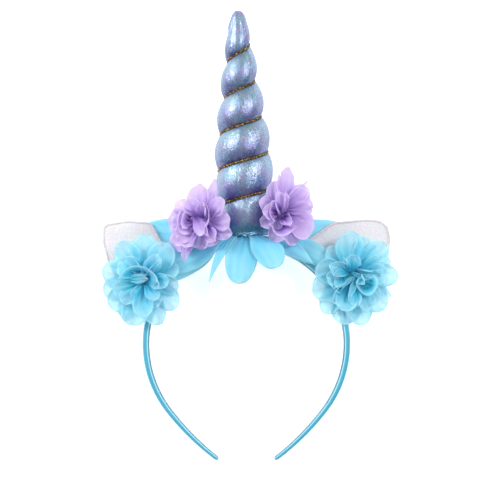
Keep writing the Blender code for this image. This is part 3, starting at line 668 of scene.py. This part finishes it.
BLUE_RIGHT = {
    "outer": (
        (-7, 0, -1, 0, 14, 13, 0, 0, 10, 10, 0, "broad"),
        (0, 2, 1, 100, 26, 20, 8, -8, 50, 14, -6),
        (1, 2, 0, 68, 24, 16, 6, -8, 40, 10, 8),
        (2, 2, 1, 44, 27, 16, 8, -10, 40, 8, -8),
        (2, 0, 0, 22, 25, 14, 6, -10, 40, 10, 8),
        (2, 0, 1, 1, 28, 15, 8, -12, 40, 10, -6),
        (2, -1, 0, 339, 27, 11, 6, -8, 50, 20, 10, "leaf"),
        (2, -1, 1, 318, 27, 18, 8, -14, 40, 8, -8),
        (0, -2, 1, 284, 29, 17, 10, -14, 50, 14, 6),
        (-1, -2, 0, 257, 28, 20, 8, -12, 50, 14, -6),
        (-2, -2, 0, 226, 26, 15, 6, -10, 40, 10, 8),
        (-2, -1, 1, 200, 25, 19, 10, -16, 40, 10, -6),
        (-2, 1, 0, 172, 22, 17, 12, -16, 60, 24, 10),
        (-2, 2, 0, 135, 21, 14, 8, -10, 40, 10, 8),
    ),
    "middle": (
        (-1, 3, 3, 98, 13, 13, 40, -22, 80, 60, 4),
        (3, 3, 3, 40, 18, 14, 30, -24, 60, 20, 14),
        (3, 0, 3, 5, 19, 15, 26, -24, 60, 24, -12),
        (3, -3, 3, 325, 18, 14, 26, -24, 60, 20, 14),
        (2, -4, 3, 292, 19, 13, 28, -26, 70, 30, -12),
        (-2, -4, 4, 256, 19, 15, 30, -28, 60, 24, 14),
        (-4, -3, 3, 222, 17, 14, 30, -24, 70, 40, -14),
        (-4, 0, 4, 190, 17, 15, 34, -22, 70, 50, 12),
        (-3, 2, 4, 155, 17, 14, 40, -26, 80, 60, -10),
    ),
    "inner": (
        (1, 5, 6, 8, 17, 8, 26, -12, 110, 60, 50, "leaf"),
        (-2, 3, 6, 2, 14, 5, 34, -14, 120, 80, 35, "leaf"),
        (1, 0, 7, 232, 14, 5, 34, -16, 120, 90, 40, "leaf"),
        (2, -1, 6, 248, 17, 6, 38, -22, 110, 70, 20, "leaf"),
        (-4, 2, 6, 208, 13, 9, 48, -24, 90, 80, 30),
        (-7, 0, 5, 222, 12, 10, 52, -26, 80, 70, 10),
        (-3, 5, 6, 120, 12, 6, 50, -24, 110, 90, -20, "leaf"),
        (0, -6, 6, 275, 14, 9, 40, -30, 70, 20, 20, "broad"),
    ),
    "heart": (
        (3, 0, 7, 330, 8, 10, 66, -10, 60, 120, 20, "broad"),
    ),
}
PURPLE_LEFT = {
    "outer": (
        (-3, 5, -1, 0, 13, 14, 0, 0, 10, 10, 0, "broad"),
        (1, 5, 0, 100, 20, 18, 12, -14, 50, 10, -6),
        (4, 6, 0, 78, 23, 8, 8, -4, 70, 40, 20, "leaf"),
        (5, 4, 1, 38, 16, 13, 14, -14, 60, 16, -8),
        (6, 1, 1, 8, 15, 14, 14, -16, 60, 20, 10),
        (5, -2, 0, 344, 16, 11, 10, -14, 50, 20, -8),
        (-4, 3, 0, 145, 17, 13, 8, -12, 50, 16, 8),
        (-5, 1, 0, 176, 18, 19, 8, -14, 40, 6, -6),
        (-5, -3, 0, 212, 19, 17, 8, -16, 40, 10, 8),
        (-4, -5, 1, 244, 20, 10, 14, -18, 90, 80, -8, "leaf"),
        (0, -4, 0, 266, 11.5, 13, 10, -16, 50, 14, 8),
        (5, -3, 0, 300, 10.5, 13, 10, -16, 50, 14, -8),
    ),
    "middle": (
        (0, 4, 3, 112, 14, 14, 38, -22, 80, 60, 6),
        (4, 4, 4, 62, 12, 11, 46, -22, 90, 80, -6),
        (6, -1, 4, 312, 12, 12, 30, -26, 60, 20, 14),
        (-3, 0, 3, 165, 14, 14, 34, -24, 70, 40, -10),
        (-4, -3, 3, 222, 15, 13, 26, -20, 70, 36, 12),
    ),
    "inner": (
        (-1, 0, 6, 215, 15, 13, 26, -22, 30, -10, -14, "broad"),
        (1, -3, 5, 236, 15, 10, 24, -18, 40, 0, 24, "broad"),
        (-4, -6, 4, 248, 14, 6, 26, -20, 120, 110, 0, "leaf"),
    ),
    "heart": (
        (-1, 5, 8, 300, 14, 8, 16, -14, 40, 10, -16, "broad"),
        (4, 2, 6, 312, 12, 7, 30, -18, 90, 60, 20, "leaf"),
    ),
}
PURPLE_RIGHT = {
    "outer": (
        (-9, 0, -1, 0, 14, 13, 0, 0, 10, 10, 0, "broad"),
        (-2, 2, 0, 79, 26, 12, 12, -12, 60, 14, 4),
        (-5, 2, 0, 100, 17, 12, 12, -12, 60, 20, -8),
        (-5, 3, 3, 102, 21, 8, 16, -8, 80, 40, 30, "leaf"),
        (3, 4, 0, 58, 20, 4, 10, -6, 100, 80, 30, "leaf"),
        (0, 2, 1, 38, 20, 15, 14, -16, 50, 14, -8),
        (2, 1, 0, 14, 18, 15, 10, -14, 50, 14, 8),
        (2, -1, 1, 352, 17, 16, 12, -16, 50, 14, -6),
        (1, -3, 0, 328, 19, 15, 10, -16, 50, 14, 8),
        (-1, -4, 1, 300, 18, 15, 12, -16, 50, 16, -8),
        (-4, -4, 0, 270, 15, 13, 12, -16, 60, 24, 8),
        (-6, -1, 0, 210, 12, 12, 14, -14, 60, 24, -8),
        (-6, 1, 1, 160, 13, 13, 18, -14, 60, 24, 8),
    ),
    "middle": (
        (-3, 1, 3, 50, 20, 15, 26, -20, 70, 20, 14),
        (-3, 0, 4, 14, 19, 14, 30, -24, 70, 26, 18),
        (-3, -1, 5, 334, 22, 19, 26, -24, 80, 20, 10),
        (-4, -1, 4, 122, 16, 15, 34, -22, 80, 30, 16, "leaf"),
    ),
    "inner": (
        (-4, -1, 6, 96, 15, 6, 36, -20, 120, 90, 16, "leaf"),
        (-6, 0, 5, 158, 13, 14, 34, -22, 70, 20, -14, "broad"),
        (-2, 1, 6, 4, 14, 5, 34, -20, 120, 90, 20, "leaf"),
    ),
    "heart": (
        (-3, -4, 6, 320, 8, 12, 62, -20, 70, 110, 10, "broad"),
    ),
}

# The rolled strips in a flower's middle: place as above, half width and half height of the oval, the
# angle where it starts and its sweep in degrees, the strip's height, and how far its edge flares
ROLLS = {
    "flower_blue_left": (
        (-3.5, 2.5, 5, 9.5, 5.2, 215, -265, 8, 0.25),
    ),
    "flower_blue_right": (
        (6.5, -4.5, 5, 4.6, 4.4, 100, 320, 8, 0.45),
        (-9.0, -3.5, 4, 4.5, 5.0, 80, 200, 7, 0.3),
    ),
    "flower_purple_left": (
        (-5.0, 2.5, 4, 5.0, 6.0, 60, 230, 8, 0.3),
        (5.0, 6.0, 4, 3.6, 5.0, 130, -220, 7, 0.35),
        (-4.5, 2.5, 5, 3.0, 4.0, 70, 200, 8, 0.2),
    ),
    "flower_purple_right": (
        (-6.0, -8.5, 4, 6.2, 4.6, 165, 205, 8, 0.3),
        (-9.0, 0.5, 4, 3.6, 5.0, 110, 150, 7, 0.3),
    ),
}

# name, centre to the right and up in photo pixels from the crown, yaw, material, petals
FLOWERS = (
    ("flower_blue_left", -98.5, -38.0, -14, BLUE, BLUE_LEFT),
    ("flower_blue_right", 104.5, -33.5, 14, BLUE, BLUE_RIGHT),
    ("flower_purple_left", -43.5, 18.5, -26, LILAC, PURPLE_LEFT),
    ("flower_purple_right", 36.0, 31.0, 26, LILAC, PURPLE_RIGHT),
)
FOOT_RADIUS = 5.0 * MM
FOOT_ROWS = 14
FOOT_COLUMNS = 97
FOOT_TONE = 0.3             # deeper than most of a petal
HUB_BACK = 0.8 * MM         # from the hub to where the foot begins
HEART_STAND = 3.4 * MM      # of the heart's back in front of the hub
PETAL_CLOTH = 0.25 * MM
WHORL_PALENESS = {"outer": 0.36, "middle": 0.12, "inner": 0.04, "heart": 0.0}


def hub_depth(name):
    """Depth of the flower's hub behind the crown, from the back of its heart."""
    low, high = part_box(f"{name}_heart")
    middle = Vector(((low[0] + high[0]) / 2, (low[1] + high[1]) / 2, low[2]))
    return (WORN.inverted() @ middle).y + HEART_STAND


def flower(name, right, up, yaw, material, petals):
    """A gathered flower: its petals by whorls, and the foot behind its hub."""
    place = Matrix.Translation((right * PIXEL, hub_depth(name), up * PIXEL))
    place = place @ Matrix.Rotation(math.radians(yaw), 4, "Z") @ Matrix.Rotation(math.pi / 2, 4, "X")
    draw = random.Random(name)
    for whorl, rows in petals.items():
        cloth = Cloth(PETAL_CLOTH)
        if whorl == "heart":
            for roll in ROLLS[name]:
                cloth.add(*rolled_strip(*roll))
        for row in rows:
            petal = {"outline": "round", **dict(zip(PETAL_NAMES, row))}
            grid, flat, tone, rim = petal_grid(petal, draw)
            root = [petal[key] * MM for key in ("right", "up", "lift")]
            tone = WHORL_PALENESS[whorl] + (1 - WHORL_PALENESS[whorl]) * tone
            cloth.add(turned(grid, petal["azimuth"], root, petal["tilt"]), flat, tone, rim)
        cloth.piece(f"{name}_{whorl}_petals", material, place,
                    [f"{name}_{whorl}"])
    towards = Vector((0, 1, 0))
    if material is LILAC:
        towards = Vector((-place.translation.x, -place.translation.y, 0)).normalized()
    flower_foot(name, place, material, towards)


def flower_foot(name, place, material, towards):
    """The gathered foot behind a flower: a pleated strip of its cloth wound into a tube."""
    node = bpy.data.objects[f"{name}_foot"]
    behind = place @ Vector((0, 0, -HUB_BACK))
    worn = WORN.inverted() @ node.matrix_world
    length = max((worn @ vertex.co - behind).dot(towards) for vertex in node.data.vertices)
    across = towards.cross(Vector((0, 0, 1))).normalized()
    normal = (place.to_3x3() @ Vector((0, 0, 1))).normalized()
    points = np.zeros((FOOT_ROWS, FOOT_COLUMNS, 3))
    phase = random.Random(name).uniform(0, 6.28)
    for r in range(FOOT_ROWS):
        share = r / (FOOT_ROWS - 1)
        for c in range(FOOT_COLUMNS):
            turn = 2 * math.pi * c / (FOOT_COLUMNS - 1)
            pleat = 0.5 * math.cos(11 * turn + phase) + 0.25 * math.cos(17 * turn + 2 * phase)
            radius = FOOT_RADIUS * (0.78 + 0.14 * pleat + 0.16 * abs(2 * share - 0.9))
            spoke = radius * (math.cos(turn) * across + math.sin(turn) * Vector((0, 0, 1)))
            tilt = -spoke.dot(normal) / towards.dot(normal)
            points[r, c] = behind + spoke + towards * (length * share + tilt * (1 - share))
    around = np.linalg.norm(np.diff(points[FOOT_ROWS // 2], axis=0), axis=1).sum()
    width = np.linspace(-around / 2, around / 2, FOOT_COLUMNS)
    flat = flat_grid(np.linspace(0, length, FOOT_ROWS), width)
    cloth = Cloth(PETAL_CLOTH)
    cloth.add(points, flat, FOOT_TONE, 0.0)
    cloth.piece(f"{name}_foot_gathers", material, Matrix.Identity(4),
                [f"{name}_foot"])


# Petals under the horn

PETAL_LENGTH = 30.0 * MM
PETAL_ROOT = 0.35           # of the horn's radius, where the petals start
PETAL_BEND = 1.14           # of the horn's radius, where they bend down
LAYER = 1.3 * MM            # from one layer of petals to the next
LAYER_FIRST = 3.15 * MM     # height of the lowest layer
UNDER_CLOTH = 0.35 * MM
UNDER_ROWS = 30
UNDER_COLUMNS = 15
GATHER = 0.45 * MM          # height of the folds at the root
CROWNING = 1.6 * MM         # of the edges behind the middle, at the tip
RIPPLE = 0.5 * MM           # of the edges, at the tip
UNDER_PETALS = (
    # name, azimuth, layer, then shares of the length: the tip from the bend to the right, to the back
    # and up, the width and the width at the root, and last the outline
    ("petal_upper_left", 150, 2, -1.46, 0.05, 0.10, 0.56, 0.20, "blunt"),
    ("petal_upper_right", 30, 2, 1.42, 0.05, 0.08, 0.54, 0.20, "blunt"),
    ("petal_under_left", 203, 0, -1.05, 0.10, -0.84, 0.56, 0.24, "blunt"),
    ("petal_lower_left", 205, 1, -1.12, 0.00, -0.66, 0.80, 0.26, "blunt"),
    ("petal_thin_left", 236, 2, -0.32, 0.00, -0.98, 0.22, 0.13, "leaf"),
    ("petal_front", 266, 1, -0.12, 0.10, -0.98, 0.66, 0.24, "blunt"),
    ("petal_front_right", 294, 2, 0.30, -0.04, -0.68, 0.62, 0.24, "blunt"),
    ("petal_pointed_right", 331, 1, 0.72, 0.03, -0.56, 0.44, 0.24, "leaf"),
    ("petal_lower_right", 342, 0, 1.05, 0.04, -0.45, 0.52, 0.24, "blunt"),
)


def smooth_step(start, end, share):
    """0 up to the start, 1 from the end, and a smooth rise between."""
    part = np.clip((share - start) / (end - start), 0.0, 1.0)
    return part * part * (3 - 2 * part)


def under_petal(name, azimuth, layer, right, back, up, width, root_width, outline):
    """A long petal from under the horn, which leaves level, bends over the hoop and hangs."""
    angle = math.radians(azimuth)
    outwards = Vector((math.cos(angle), math.sin(angle), 0))
    height = Vector((0, 0, LAYER_FIRST + layer * LAYER))
    root = outwards * PETAL_ROOT * HORN_RADIUS + height
    bend = outwards * (PETAL_BEND * HORN_RADIUS + 1.2 * layer * LAYER) + height
    tip = bend + Vector((right, back, up)) * PETAL_LENGTH
    root_side = outwards.cross(Vector((0, 0, 1)))
    along = (tip - bend).normalized()
    facing = outwards if outwards.y < 0 else Vector((0, 0, 0))
    tip_side = along.cross(Vector((0, -1, 0)) + 0.18 * facing).normalized()
    if tip_side.dot(root_side) < 0:
        tip_side.negate()
    u = np.sin(np.pi / 2 * np.linspace(0, 1, UNDER_ROWS))
    v = np.linspace(-1, 1, UNDER_COLUMNS)
    half = np.maximum(petal_width(outline, u) * width, root_width * (1 - u) ** 2) * PETAL_LENGTH / 2
    points = np.zeros((UNDER_ROWS, UNDER_COLUMNS, 3))
    lengths = [0.0]
    phase = random.Random(name).uniform(0, 6.28)
    before = None
    for r, share in enumerate(u):
        centre = curve(root, bend, tip, share)
        if before is not None:
            lengths.append(lengths[-1] + (centre - before).length)
        before = centre
        side = root_side.lerp(tip_side, float(smooth_step(0.3, 0.85, share))).normalized()
        heading = (bend * (1 - 2 * share) - root * (1 - share) + tip * share).normalized()
        normal = side.cross(heading).normalized()
        if normal.y > 0 and share > 0.6 or normal.z < 0 and share <= 0.6:
            normal.negate()
        for c, across in enumerate(v):
            off = GATHER * (1 - share) * math.cos(3 * math.pi * across + phase)
            off -= CROWNING * abs(across) ** 2 * share * width / 0.6
            off += RIPPLE * share * abs(across) ** 3 * math.sin(9 * share + phase)
            points[r, c] = centre + side * float(half[r]) * across + normal * off
    # Rim: the edges and tip that take a painted highlight
    rim = np.clip(np.maximum(np.abs(v) - 0.80, (u[:, None] - 0.93) * 2.4) / 0.20, 0, 1)
    # Tone: deeper at the root under the horn, partly painted shade
    tone = (0.25 + 0.45 * u)[:, None]
    cloth = Cloth(UNDER_CLOTH)
    cloth.add(points, flat_grid(np.array(lengths), half[:, None] * v), tone, rim)
    cloth.piece(f"{name}_cloth", BLUE_LONG, Matrix.Identity(4), [name])


# Ears

EAR_THICK = 1.1 * MM
EAR_BORDER = 1.8 * MM       # across the rolled border
EAR_SPACING = 1.6 * MM      # of the points round an ear
EAR_SOFTNESS = 0.35 * MM    # how far its face is from flat
EAR_RINGS = 10
CORNER_STEPS = 9
EAR_OUTLINES = {
    # right, up, corner radius in the photograph's pixels from the crown
    "ear_left": (
        (-71, -27, 2), (-96.5, 19.5, 9), (-121, 21.5, 30), (-144, 17.5, 6), (-144, 0, 20),
        (-138.5, -20, 30), (-126, -45, 30), (-98, -66, 3), (-87, -49, 20), (-79, -37, 20),
    ),
    "ear_right": (
        (51, -13, 2), (65, 4, 12), (87, 19.5, 14), (120, 23, 60), (135, 21.5, 10), (142, 16, 8),
        (144.5, 4, 20), (142, -12, 30), (138, -25, 30), (127, -45, 30), (99, -66, 3), (86, -48, 20),
        (71, -29, 20),
    ),
}


def disc_faces(rings, count):
    """Faces of a disc: its vertices are rings, the innermost first, and then the middle."""
    faces = []
    for index in range(count):
        after = (index + 1) % count
        faces.append((rings * count, index, after))
        for low in range(0, (rings - 1) * count, count):
            faces.append((low + index, low + count + index, low + count + after, low + after))
    return faces


def rounded_outline(corners):
    """Points round a closed outline, whose corners are each rounded by their own radius."""
    points = []
    for index, (x, y, radius) in enumerate(corners):
        here = Vector((x, y))
        before = Vector(corners[index - 1][:2]) - here
        after = Vector(corners[(index + 1) % len(corners)][:2]) - here
        half = before.angle(after) / 2
        cut = min(radius / math.tan(half), 0.48 * before.length, 0.48 * after.length)
        start, end = here + before.normalized() * cut, here + after.normalized() * cut
        for step in range(CORNER_STEPS):
            points.append(curve(start, here, end, step / (CORNER_STEPS - 1)))
    return points


def evenly(points, spacing):
    """Points at even distances round a closed outline."""
    closed = points + points[:1]
    result = []
    for start, end in zip(closed, closed[1:]):
        parts = max(1, round((end - start).length / spacing))
        result += [start.lerp(end, index / parts) for index in range(parts)]
    return result


def ear_place(name):
    """The middle of the frame's ear, and the direction square to it that points to the back."""
    node = bpy.data.objects[name]
    worn = WORN.inverted() @ node.matrix_world
    points = np.array([worn @ vertex.co for vertex in node.data.vertices])
    middle = Vector(points.mean(axis=0))
    normal = Vector(np.linalg.svd(points - np.array(middle))[2][2])
    if normal.y < 0:
        normal.negate()
    return middle, normal


def ear(name):
    """A flat ear of glitter fabric, and the rolled border round it."""
    origin, normal = ear_place(name)
    corners = [[value * PIXEL for value in corner] for corner in EAR_OUTLINES[name]]
    outline = evenly(rounded_outline(corners), EAR_SPACING)
    middle = sum(outline, Vector((0, 0))) / len(outline)

    def on_ear(point, front):
        out_of_middle = Vector((point.x - origin.x, 0, point.y - origin.z))
        depth = origin.y - out_of_middle.dot(normal) / normal.y
        soft = EAR_SOFTNESS * noise.noise(Vector((point.x * 60, point.y * 60, 3.0)))
        return Vector((point.x, depth + soft, point.y)) + front * EAR_THICK / 2 * normal

    vertices, flat = [], []
    for front in (-1, 1):
        for ring in range(1, EAR_RINGS + 1):
            for point in outline:
                inner = middle.lerp(point, ring / EAR_RINGS)
                vertices.append(on_ear(inner, front))
                flat.append(tuple(inner))
        vertices.append(on_ear(middle, front))
        flat.append(tuple(middle))
    count, last = len(outline), (EAR_RINGS - 1) * len(outline)
    behind = EAR_RINGS * count + 1
    faces = disc_faces(EAR_RINGS, count)
    faces += [tuple(behind + index for index in reversed(face)) for face in faces]
    for index in range(count):
        after = (index + 1) % count
        faces.append((last + index, behind + last + index, behind + last + after, last + after))
    panel = new_piece(f"{name}_panel", vertices, faces, GLITTER, flat)
    pairs = zip(outline, outline[1:] + outline[:1])
    area = abs(sum(start.x * end.y - end.x * start.y for start, end in pairs)) / 2
    path = [on_ear(point, 0) for point in outline]
    points, around = tube(path + path[:2], EAR_BORDER / 2, 12)
    rim = new_piece(f"{name}_border", points, around, BORDER)
    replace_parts(panel, name)


# Hoop


def hoop_at(distance):
    """Point of the centreline in X and Z, and its heading below the horizontal, on the right arm."""
    x = z = heading = 0.0
    left = distance
    for radius, turn in HOOP_ARCS:
        part = min(left, radius * turn)
        after = heading + part / radius
        x += radius * (math.sin(after) - math.sin(heading))
        z -= radius * (math.cos(heading) - math.cos(after))
        heading = after
        left -= part
    return x, z, heading


def hoop():
    """The hoop in its satin: a rounded band with a raised seam along its inner edge."""
    half = sum(radius * turn for radius, turn in HOOP_ARCS)
    tip = BAND_WIDTH[1] / 2
    stations = []
    for step in range(BAND_STEPS):
        stations.append((min((half - tip) * (step + 0.5) / (BAND_STEPS - 0.5), half - tip), 1.0))
    for degrees in BAND_TIP:
        turn = math.radians(degrees)
        stations.append((half - tip + tip * math.sin(turn), math.cos(turn)))
    sections = [(-distance, scale) for distance, scale in reversed(stations)] + stations
    vertices, flat, across = [], [], []
    for distance, scale in sections:
        x, z, heading = hoop_at(abs(distance))
        side = math.copysign(1, distance)
        out_x, out_z = side * math.sin(heading), math.cos(heading)
        share = abs(distance) / half
        width = (BAND_WIDTH[0] + (BAND_WIDTH[1] - BAND_WIDTH[0]) * share) * scale
        thick = table_value(BAND_THICKNESS, share, 1) * MM * scale
        for index in range(BAND_SIDES):
            angle = 2 * math.pi * index / BAND_SIDES
            c, s = math.cos(angle), math.sin(angle)
            depth = width / 2 * math.copysign(abs(c) ** BAND_CORNER, c)
            height = thick / 2 * math.copysign(abs(s) ** BAND_CORNER, s)
            depth -= SEAM_HEIGHT * math.exp(-((math.degrees(angle) - SEAM_ANGLE) / SEAM_SPREAD) ** 2)
            vertices.append((side * x + out_x * height, depth, z + out_z * height))
            flat.append((distance, width / 2 * angle))
            across.append(index / BAND_SIDES)
    faces = ring_faces(len(sections), BAND_SIDES)
    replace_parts(new_piece("hoop", vertices, faces, SATIN, flat, {"across": across}), "headband")


# Horn and its cord


def groove_height(column):
    """Height of the lowest groove at a column of points round the horn."""
    return HORN_GROOVE_START + HORN_PITCH * column / HORN_COLUMNS


def groove_end(height):
    """0 where the cord draws the horn in, and 1 above the cord's end."""
    return float(smooth_step(*HORN_CLOSED, height / HORN_HEIGHT))


def horn_radius(height, phase):
    """Radius at a height, where the phase runs from 0 in one groove to 1 in the next."""
    share = height / HORN_HEIGHT
    full = table_value(HORN_SECTIONS, share, 1)
    waist = table_value(HORN_SECTIONS, share, 2)
    bulge = abs(math.sin(math.pi * (phase % 1.0))) ** HORN_PUFF
    bulge += (1 - bulge) * groove_end(height)
    return HORN_RADIUS * (waist + (full - waist) * bulge)


def leaning():
    """Place of the horn, which leans to the left, on the petals under it."""
    return Matrix.Translation((0, 0, HORN_SEAT)) @ Matrix.Rotation(HORN_LEAN, 4, "Y")


def horn_point(column, height):
    """A point of the upright horn, and its phase."""
    angle = 2 * math.pi * column / HORN_COLUMNS
    phase = round((height - groove_height(column)) / HORN_PITCH, 6) % 1.0
    radius = horn_radius(height, phase)
    near = min(phase, 1 - phase)
    around = Vector((math.cos(angle), math.sin(angle), 0))
    pull = noise.noise(Vector((7 * around.x, 7 * around.y, height / (9 * MM))))
    folds = noise.noise(Vector((16 * around.x, 16 * around.y, height / (16 * MM))))
    radius += HORN_PUCKERS[0] * pull + HORN_PUCKERS[1] * folds * math.exp(-(near / 0.12) ** 2)
    tip = float(smooth_step(*HORN_TIP, height / HORN_HEIGHT))
    radius *= 1 + HORN_PLEATS * tip * math.sin(3 * angle + 1.0)
    return radius * around + Vector((0, 0, height)), phase


def horn():
    """The padded spiral horn: rows of points follow the groove and are cut off at both ends."""
    high = HORN_TOP * HORN_HEIGHT
    row_height = HORN_PITCH / HORN_ROWS_PER_TURN
    first = -math.ceil((HORN_GROOVE_START + HORN_PITCH + 2 * MM) / row_height)
    last = math.ceil((high - HORN_GROOVE_START) / row_height)
    vertices, index_of, turns, feet = [], {}, [], []
    lean = leaning()
    for column in range(HORN_COLUMNS):
        angle = 2 * math.pi * column / HORN_COLUMNS
        low = horn_radius(0, 0.5) * math.cos(angle) * math.tan(HORN_LEAN) - HORN_SINK
        for key in range(first, last + HORN_ROWS_PER_TURN + 1):
            height = min(max(groove_height(column) + key * row_height, low), high)
            point, phase = horn_point(column, height)
            index_of[column, key] = len(vertices)
            vertices.append(lean @ point)
            turns.append(phase + (0.55 - phase) * groove_end(height))
            feet.append(1 - float(smooth_step(0.0, HORN_FOOT, height)))
    faces = []
    for column in range(HORN_COLUMNS):
        after = (column + 1) % HORN_COLUMNS
        shift = 0 if after else HORN_ROWS_PER_TURN
        for key in range(first, last):
            faces.append((index_of[column, key], index_of[after, key + shift],
                          index_of[after, key + 1 + shift], index_of[column, key + 1]))
    tones = {"turn": turns, "foot": feet}
    obj = new_piece("horn_cover", vertices, faces, HORN_CLOTH, None, tones)
    solid = bmesh.new()
    solid.from_mesh(obj.data)
    bmesh.ops.remove_doubles(solid, verts=solid.verts[:], dist=0.01 * MM)
    loose = [vertex for vertex in solid.verts if not vertex.link_faces]
    bmesh.ops.delete(solid, geom=loose, context="VERTS")
    bmesh.ops.holes_fill(solid, edges=solid.edges[:])
    bmesh.ops.recalc_face_normals(solid, faces=solid.faces[:])
    solid.to_mesh(obj.data)
    solid.free()
    obj.data.shade_smooth()
    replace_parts(obj, "horn")


def horn_cord():
    """Two strands twisted round each other, wound in the horn's groove."""
    count = round(CORD_TURNS * CORD_STEPS)
    centres = []
    for step in range(count + 1):
        turn = step / CORD_STEPS
        angle = 2 * math.pi * turn
        height = HORN_GROOVE_START + HORN_PITCH * turn
        radius = horn_radius(height, 0) + CORD_LIFT + CORD_RADIUS
        centres.append(Vector((radius * math.cos(angle), radius * math.sin(angle), height)))
    distance = [0.0]
    for before, after in zip(centres, centres[1:]):
        distance.append(distance[-1] + (after - before).length)
    strand = STRAND_SHARE * CORD_RADIUS
    strands = []
    for half_turn in (0, math.pi):
        path = []
        for index, centre in enumerate(centres):
            along = (centres[min(index + 1, count)] - centres[max(index - 1, 0)]).normalized()
            outwards = Vector((centre.x, centre.y, 0)).normalized()
            up = along.cross(outwards).normalized()
            twist = 2 * math.pi * distance[index] / CORD_LAY + half_turn
            spoke = math.cos(twist) * outwards + math.sin(twist) * up
            path.append(centre + STRAND_OFFSET * strand * spoke)
        strands.append(path)
    vertices, faces = tubes(strands, strand, 7, leaning())
    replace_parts(new_piece("cord_strands", vertices, faces, CORD_METAL), "horn_cord")


THREADS = 7
THREAD_ARC = (222, 318)     # degrees round the horn's front
THREAD_RADIUS = 0.10 * MM
THREAD_STEPS = 12


def threads():
    """A few frayed threads of the petals' cloth along the horn's foot."""
    draw = random.Random("threads")
    paths = []
    for place in range(THREADS):
        angle = math.radians(draw.uniform(*THREAD_ARC))
        outwards = Vector((math.cos(angle), math.sin(angle), 0))
        sideways = outwards.cross(Vector((0, 0, 1)))
        start = outwards * 1.02 * HORN_RADIUS + Vector((0, 0, LAYER_FIRST + 2.0 * LAYER))
        length = draw.choice((-1, 1)) * draw.uniform(4, 8) * MM
        reach = draw.uniform(0.5, 2) * MM
        drop = draw.uniform(0.3, 1.6) * MM
        hump = draw.uniform(0.3, 0.9) * MM
        path = []
        for step in range(THREAD_STEPS + 1):
            t = step / THREAD_STEPS
            rise = Vector((0, 0, hump * math.sin(math.pi * t) - drop * t * t))
            path.append(start + outwards * reach * t + sideways * length * t + rise)
        paths.append(path)
    vertices, faces = tubes(paths, THREAD_RADIUS, 6, Matrix.Identity(4))
    new_piece("frayed_threads", vertices, faces, THREAD)


for flower_row in FLOWERS:
    flower(*flower_row)
for petal_row in UNDER_PETALS:
    under_petal(*petal_row)
ear("ear_left")
ear("ear_right")
hoop()
horn()
horn_cord()
threads()


# Floor, light and camera

PHOTO_CENTRE = (2.2 * MM, 0, 2.5 * MM)
PHOTO_WIDTH = 310 * MM
CAMERA_DISTANCE = 1.3
SENSOR = 36.0               # width in millimetres
FLOOR_REACH = 3.0
FLOOR_DROP = 0.05 * MM
FLOOR_GLOW = 0.54           # so that the floor is as white as the photograph's
SKY_STRENGTH = 0.50
SKY_SHARE = 0.26            # of light that comes more from one side than from the others
SKY_SIDE = (-0.30, 0.50, 0.60)
LIGHTS = (
    # name, place, width and height, power
    ("key", (-0.95, 0.45, 0.80), (0.28, 0.56), 11.2),
    ("fill", (0.74, 0.28, 0.92), (0.22, 0.42), 7.6),
)


def floor():
    """A plain pale floor under the headband."""
    mesh = bpy.data.meshes.new("floor")
    corners = [(x * FLOOR_REACH, y * FLOOR_REACH, 0) for x, y in ((-1, -1), (1, -1), (1, 1), (-1, 1))]
    mesh.from_pydata(corners, [], [(0, 1, 2, 3)])
    n = Nodes("pale_floor")
    n.finish(Base_Color=(0.93, 0.93, 0.94, 1.0), Roughness=0.9, Specular_IOR_Level=0.1,
             Emission_Color=(1.0, 1.0, 1.0, 1.0), Emission_Strength=FLOOR_GLOW)
    mesh.materials.append(n.material)
    obj = bpy.data.objects.new("floor", mesh)
    bpy.context.collection.objects.link(obj)
    obj.location.z = -FLOOR_DROP


def area_light(name, place, size, power):
    """A soft light that faces the headband."""
    data = bpy.data.lights.new(name, "AREA")
    data.shape = "RECTANGLE"
    data.size, data.size_y = size
    data.energy = power
    obj = bpy.data.objects.new(name, data)
    bpy.context.collection.objects.link(obj)
    obj.location = place
    obj.rotation_euler = (-Vector(place)).to_track_quat("-Z", "Y").to_euler()


def studio():
    """A pale sky, the lights, and a camera that sees what the photograph shows."""
    scene = bpy.context.scene
    world = bpy.data.worlds.new("studio")
    world.use_nodes = True
    tree = world.node_tree
    place = tree.nodes.new("ShaderNodeTexCoord")
    towards = tree.nodes.new("ShaderNodeVectorMath")
    towards.operation = "DOT_PRODUCT"
    towards.inputs[1].default_value = SKY_SIDE
    strength = tree.nodes.new("ShaderNodeMath")
    strength.operation = "MULTIPLY_ADD"
    strength.inputs[1].default_value = SKY_SHARE
    strength.inputs[2].default_value = SKY_STRENGTH
    tree.links.new(place.outputs["Generated"], towards.inputs[0])
    tree.links.new(towards.outputs["Value"], strength.inputs[0])
    tree.links.new(strength.outputs[0], tree.nodes["Background"].inputs["Strength"])
    tree.nodes["Background"].inputs["Color"].default_value = (1.0, 1.0, 1.0, 1.0)
    scene.world = world
    scene.view_settings.view_transform = "Standard"
    for light in LIGHTS:
        area_light(*light)
    data = bpy.data.cameras.new("camera")
    data.sensor_width = SENSOR
    data.lens = SENSOR * CAMERA_DISTANCE / PHOTO_WIDTH
    camera = bpy.data.objects.new("camera", data)
    scene.collection.objects.link(camera)
    target = WORN @ Vector(PHOTO_CENTRE)
    turn = Matrix((RIGHT, UP, -BACK)).transposed().to_4x4()
    camera.matrix_world = Matrix.Translation(target - CAMERA_DISTANCE * BACK) @ turn
    scene.camera = camera


floor()
studio()
